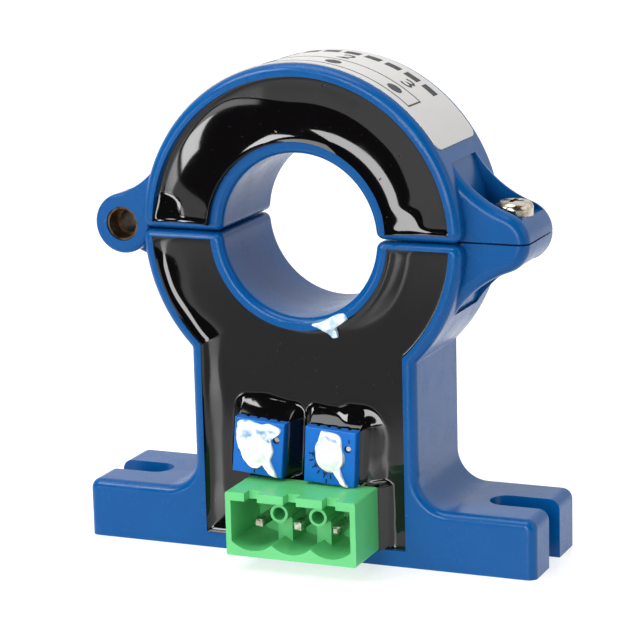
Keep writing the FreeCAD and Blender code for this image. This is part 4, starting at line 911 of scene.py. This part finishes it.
class SENSOR_OT_sealant(bpy.types.Operator):
    """Adds the sealant on the dials and the glue on the bore's rim"""
    bl_idname = "sensor.sealant"
    bl_label = "Sealant and glue"

    def execute(self, context):
        silicone = cured_silicone()
        self.dial("zero", ZERO_SPLASH, (-0.35, -0.55), context.scene.sensor_sealant, silicone)
        self.dial("gain", GAIN_SPLASH, (-0.05, 0.2), context.scene.sensor_sealant, silicone)

        def glue_height(spot, share):
            fold = noise.noise(Vector((spot.x, spot.y, 9.0)) * 900)
            return (0.3 + 0.16 * fold) * MM * edge_round(share)

        def glue_place(spot, lift):
            """On the rim where there is rim, sagging back to the resin beside it."""
            from_bore = math.hypot(spot.x, spot.y - BORE.z)
            sag = 0.75 * MM * (1 - hill(from_bore - TUBE_RADIUS, -0.2 * MM, 1.2 * MM))
            return Vector((spot.x, RIM + sag - lift, spot.y))

        splash("bore_rim_glue", GLUE_SPLASH, (4.2, 29.5), glue_height, glue_place,
               RIM + 1.3 * MM, "bore_glue", hardened_glue(), "bore_glue")
        return {"FINISHED"}

    def dial(self, name, outline, heart, settings, material):
        """Sealant on one dial: a blob on the rotor, smears with raised lips, and a drip."""
        middle = Vector(heart) * MM

        def height(spot, share):
            fold = noise.noise(Vector((spot.x, spot.y, 5.0)) * 1100)
            crease = noise.noise(Vector((spot.x, spot.y, 2.0)) * 2300)
            dome = settings.dome * hill((spot - middle).length, 0.5 * MM, 1.65 * MM)
            lip = settings.lip * math.exp(-((share - 0.88) / 0.08) ** 2) * (1 + 1.4 * fold)
            drip = 0.25 * MM * hill(spot.y + 2.2 * MM, 0.0, 0.8 * MM)
            ruffle = (0.1 * fold + 0.07 * crease) * MM * (1 - dome / settings.dome)
            rise = 0.12 * MM + ruffle + max(dome, lip + drip)
            return (rise + 0.05 * MM) * edge_round(share) - 0.05 * MM

        def place(spot, lift):
            return dial_spot(name, spot, lift)

        splash(f"{name}_dial_sealant", outline, heart, height, place, FACE + 0.1 * MM,
               "sealant", material, f"{name}_sealant")


class SENSOR_OT_hardware(bpy.types.Operator):
    """Finishes the screw, its insert and the hinge tube"""
    bl_idname = "sensor.hardware"
    bl_label = "Hardware"

    def execute(self, context):
        nickel = turned_metal("nickel_plated_steel", "#857B6C", "#CFC5B4", 0.2, 0.5)
        brass = turned_metal("turned_brass", "#8A6A32", "#D9B768", 0.28, 0.2)
        bronze = turned_metal("darkened_bronze", "#2E241B", "#6B5740", 0.38, 0.25)
        dress(["closing_screw"], nickel)
        dress(["threaded_insert"], brass)
        dress(["hinge_pin"], bronze)
        return {"FINISHED"}


def on_label(point):
    """A flat point, clockwise from the ring's top and back from the middle, on the label."""
    angle = math.pi / 2 - point.x / LABEL_RADIUS
    radius = LABEL_RADIUS + 0.004 * MM
    return Vector((radius * math.cos(angle), point.y, BORE.z + radius * math.sin(angle)))


# Digits as strokes in a box 0.6 wide and 1 high.
DIGITS = {
    "1": [(0.1, 0.8), (0.33, 1.0), (0.33, 0.0)],
    "2": [(0.0, 0.78), (0.1, 0.95), (0.3, 1.0), (0.52, 0.93), (0.6, 0.72), (0.5, 0.5),
          (0.0, 0.0), (0.6, 0.0)],
    "3": [(0.0, 0.9), (0.2, 1.0), (0.45, 0.97), (0.57, 0.77), (0.45, 0.57), (0.25, 0.53),
          (0.48, 0.48), (0.6, 0.26), (0.45, 0.04), (0.2, 0.0), (0.0, 0.1)],
}


class SENSOR_OT_label(bpy.types.Operator):
    """Finishes the label and prints plain marks on it"""
    bl_idname = "sensor.label"
    bl_label = "Label"

    def execute(self, context):
        settings = context.scene.sensor_label
        dress(["label"], polyester_label(settings))

        def clockwise(degrees):
            return math.radians(90 - degrees) * LABEL_RADIUS

        left, right = clockwise(112.0), clockwise(49.2)
        front, back, foot, bars = -5.0 * MM, -1.2 * MM, 0.2 * MM, 4.2 * MM
        print_marks = [ribbon([(left, front), (right, front), (right, back), (left, back)],
                              0.22 * MM, on_label, closed=True)]
        for digit, degrees in zip("123", (103.4, 80.5, 57.6)):
            middle = clockwise(degrees)
            print_marks.append(disc((middle, -3.1 * MM), 1.0 * MM, on_label))
            strokes = [(middle + (x - 0.3) * settings.digit, foot + y * settings.digit)
                       for x, y in DIGITS[digit]]
            print_marks.append(ribbon(strokes, 0.38 * MM, on_label))
        for number in range(9):
            start = clockwise(114.0 - number * 7.4)
            print_marks.append(ribbon([(start, bars), (start + 2.0 * MM, bars)], 1.5 * MM,
                                      on_label))
        ink = fine_grained("thermal_print", "#26282B", "#3A3C40", 0.5)
        settled(joined(print_marks), "label_print", UPPER, "label_film", ink)
        return {"FINISHED"}


LIGHT_TARGET = Vector((0, 0, 30 * MM))


def soft_box(name, azimuth, elevation, size, radiance, turn, distance):
    """A soft box that faces the object, placed by its angles from the front and the horizon.

    Its power is its radiance times pi times its area.
    """
    fresh_start()
    around, above = math.radians(azimuth), math.radians(elevation)
    away = Vector((math.sin(around) * math.cos(above), -math.cos(around) * math.cos(above),
                   math.sin(above)))
    bpy.ops.object.light_add(type="AREA", location=away * distance + LIGHT_TARGET)
    lamp = bpy.context.object
    lamp.name = name
    lamp.data.shape = "RECTANGLE"
    lamp.data.size, lamp.data.size_y = size
    lamp.data.energy = radiance * math.pi * size[0] * size[1]
    facing = away.to_track_quat("Z", "Y").to_matrix()
    lamp.rotation_euler = (facing @ Matrix.Rotation(math.radians(turn), 3, "Z")).to_euler()


# Azimuth, elevation, size, radiance, turn and distance. The front strip draws the bright streak
# down the upper resin's right side, the low bars the one up its left side, and the near box the
# crescent over the tube. The other two light the tops and the right side.
SOFT_BOXES = {
    "front_strip": (1.5, 13.5, (0.15, 0.44), 11.0, 42.0, 0.6),
    "low_bar": (-36.0, 0.0, (0.10, 0.055), 13.0, 0.0, 0.7),
    "low_bar_end": (-29.5, 0.0, (0.05, 0.05), 3.5, 0.0, 0.7),
    "top_box": (-35.0, 72.0, (0.42, 0.32), 4.7, 0.0, 0.6),
    "near_box": (-46.0, 38.0, (0.10, 0.08), 14.0, 0.0, 0.27),
    "right_box": (82.0, 22.0, (0.30, 0.36), 1.2, 0.0, 0.6),
}
TABLE_SIZE = (1.8, 2.05, 1.0)
TABLE_MIDDLE = (0.0, 0.575, 0.0)


class SENSOR_OT_stage(bpy.types.Operator):
    """Sets the table with its painted glow, the room, the soft boxes and the camera"""
    bl_idname = "sensor.stage"
    bl_label = "Stage"

    def execute(self, context):
        settings = context.scene.sensor_stage
        fresh_start()
        # The table glows with painted light round the object and near its front edge.
        bpy.ops.mesh.primitive_plane_add(size=1)
        table = context.object
        table.name = "painted_glow_table"
        table.scale = TABLE_SIZE
        table.location = TABLE_MIDDLE
        bpy.ops.object.transform_apply(location=True, rotation=True, scale=True)
        table.data.materials.append(painted_glow_table(settings))
        for name, place in SOFT_BOXES.items():
            soft_box(name, *place)
        context.scene.world = studio_air(settings)
        context.scene.view_settings.view_transform = "Standard"
        self.camera(context, settings)
        return {"FINISHED"}

    def camera(self, context, settings):
        """A camera at the photograph's angle, turned about its own axis by the roll."""
        across, along = math.cos(settings.azimuth), math.sin(settings.azimuth)
        flat = math.cos(settings.elevation)
        back = Vector((along * flat, -across * flat, math.sin(settings.elevation)))
        right = Vector((across, along, 0.0))
        upward = back.cross(right)
        level, tip = math.cos(settings.roll), math.sin(settings.roll)
        turned_right = right * level + upward * tip
        turned_up = upward * level - right * tip
        place = Vector(settings.target) + back * settings.distance
        bpy.ops.object.camera_add(location=place)
        camera = context.object
        facing = Matrix((turned_right, turned_up, back)).transposed()
        camera.rotation_euler = facing.to_euler()
        camera.data.lens = settings.lens
        camera.data.sensor_width = 36.0
        camera.data.clip_start = 0.01
        camera.data.clip_end = 20.0
        context.scene.camera = camera


STEPS = (SENSOR_OT_stage, SENSOR_OT_housing, SENSOR_OT_resin, SENSOR_OT_circuit,
         SENSOR_OT_header, SENSOR_OT_trimmers, SENSOR_OT_sealant, SENSOR_OT_hardware,
         SENSOR_OT_label)
GROUPS = {"sensor_housing": HousingSettings, "sensor_resin": ResinSettings,
          "sensor_header": HeaderSettings, "sensor_sealant": SealantSettings,
          "sensor_label": LabelSettings, "sensor_stage": StageSettings}


class SENSOR_PT_panel(bpy.types.Panel):
    """The sensor's steps and settings"""
    bl_label = "Sensor finish"
    bl_idname = "SENSOR_PT_panel"
    bl_space_type = "VIEW_3D"
    bl_region_type = "UI"
    bl_category = "Sensor"

    def draw(self, context):
        for name, group in GROUPS.items():
            box = self.layout.box()
            for key in group.__annotations__:
                box.prop(getattr(context.scene, name), key)
        for step in STEPS:
            self.layout.operator(step.bl_idname)


def register():
    """Makes the classes known and hangs the settings on the scene."""
    for item in (*GROUPS.values(), *STEPS, SENSOR_PT_panel):
        bpy.utils.register_class(item)
    for name, group in GROUPS.items():
        setattr(bpy.types.Scene, name, bpy.props.PointerProperty(type=group))


def unregister():
    """Takes back what register did."""
    for name in GROUPS:
        delattr(bpy.types.Scene, name)
    for item in reversed((*GROUPS.values(), *STEPS, SENSOR_PT_panel)):
        bpy.utils.unregister_class(item)


def main():
    """Makes everything in order."""
    register()
    bpy.ops.sensor.stage()
    bpy.ops.sensor.housing()
    bpy.ops.sensor.resin()
    bpy.ops.sensor.circuit()
    bpy.ops.sensor.header()
    bpy.ops.sensor.trimmers()
    bpy.ops.sensor.sealant()
    bpy.ops.sensor.hardware()
    bpy.ops.sensor.label()


if __name__ == "__main__":
    main()
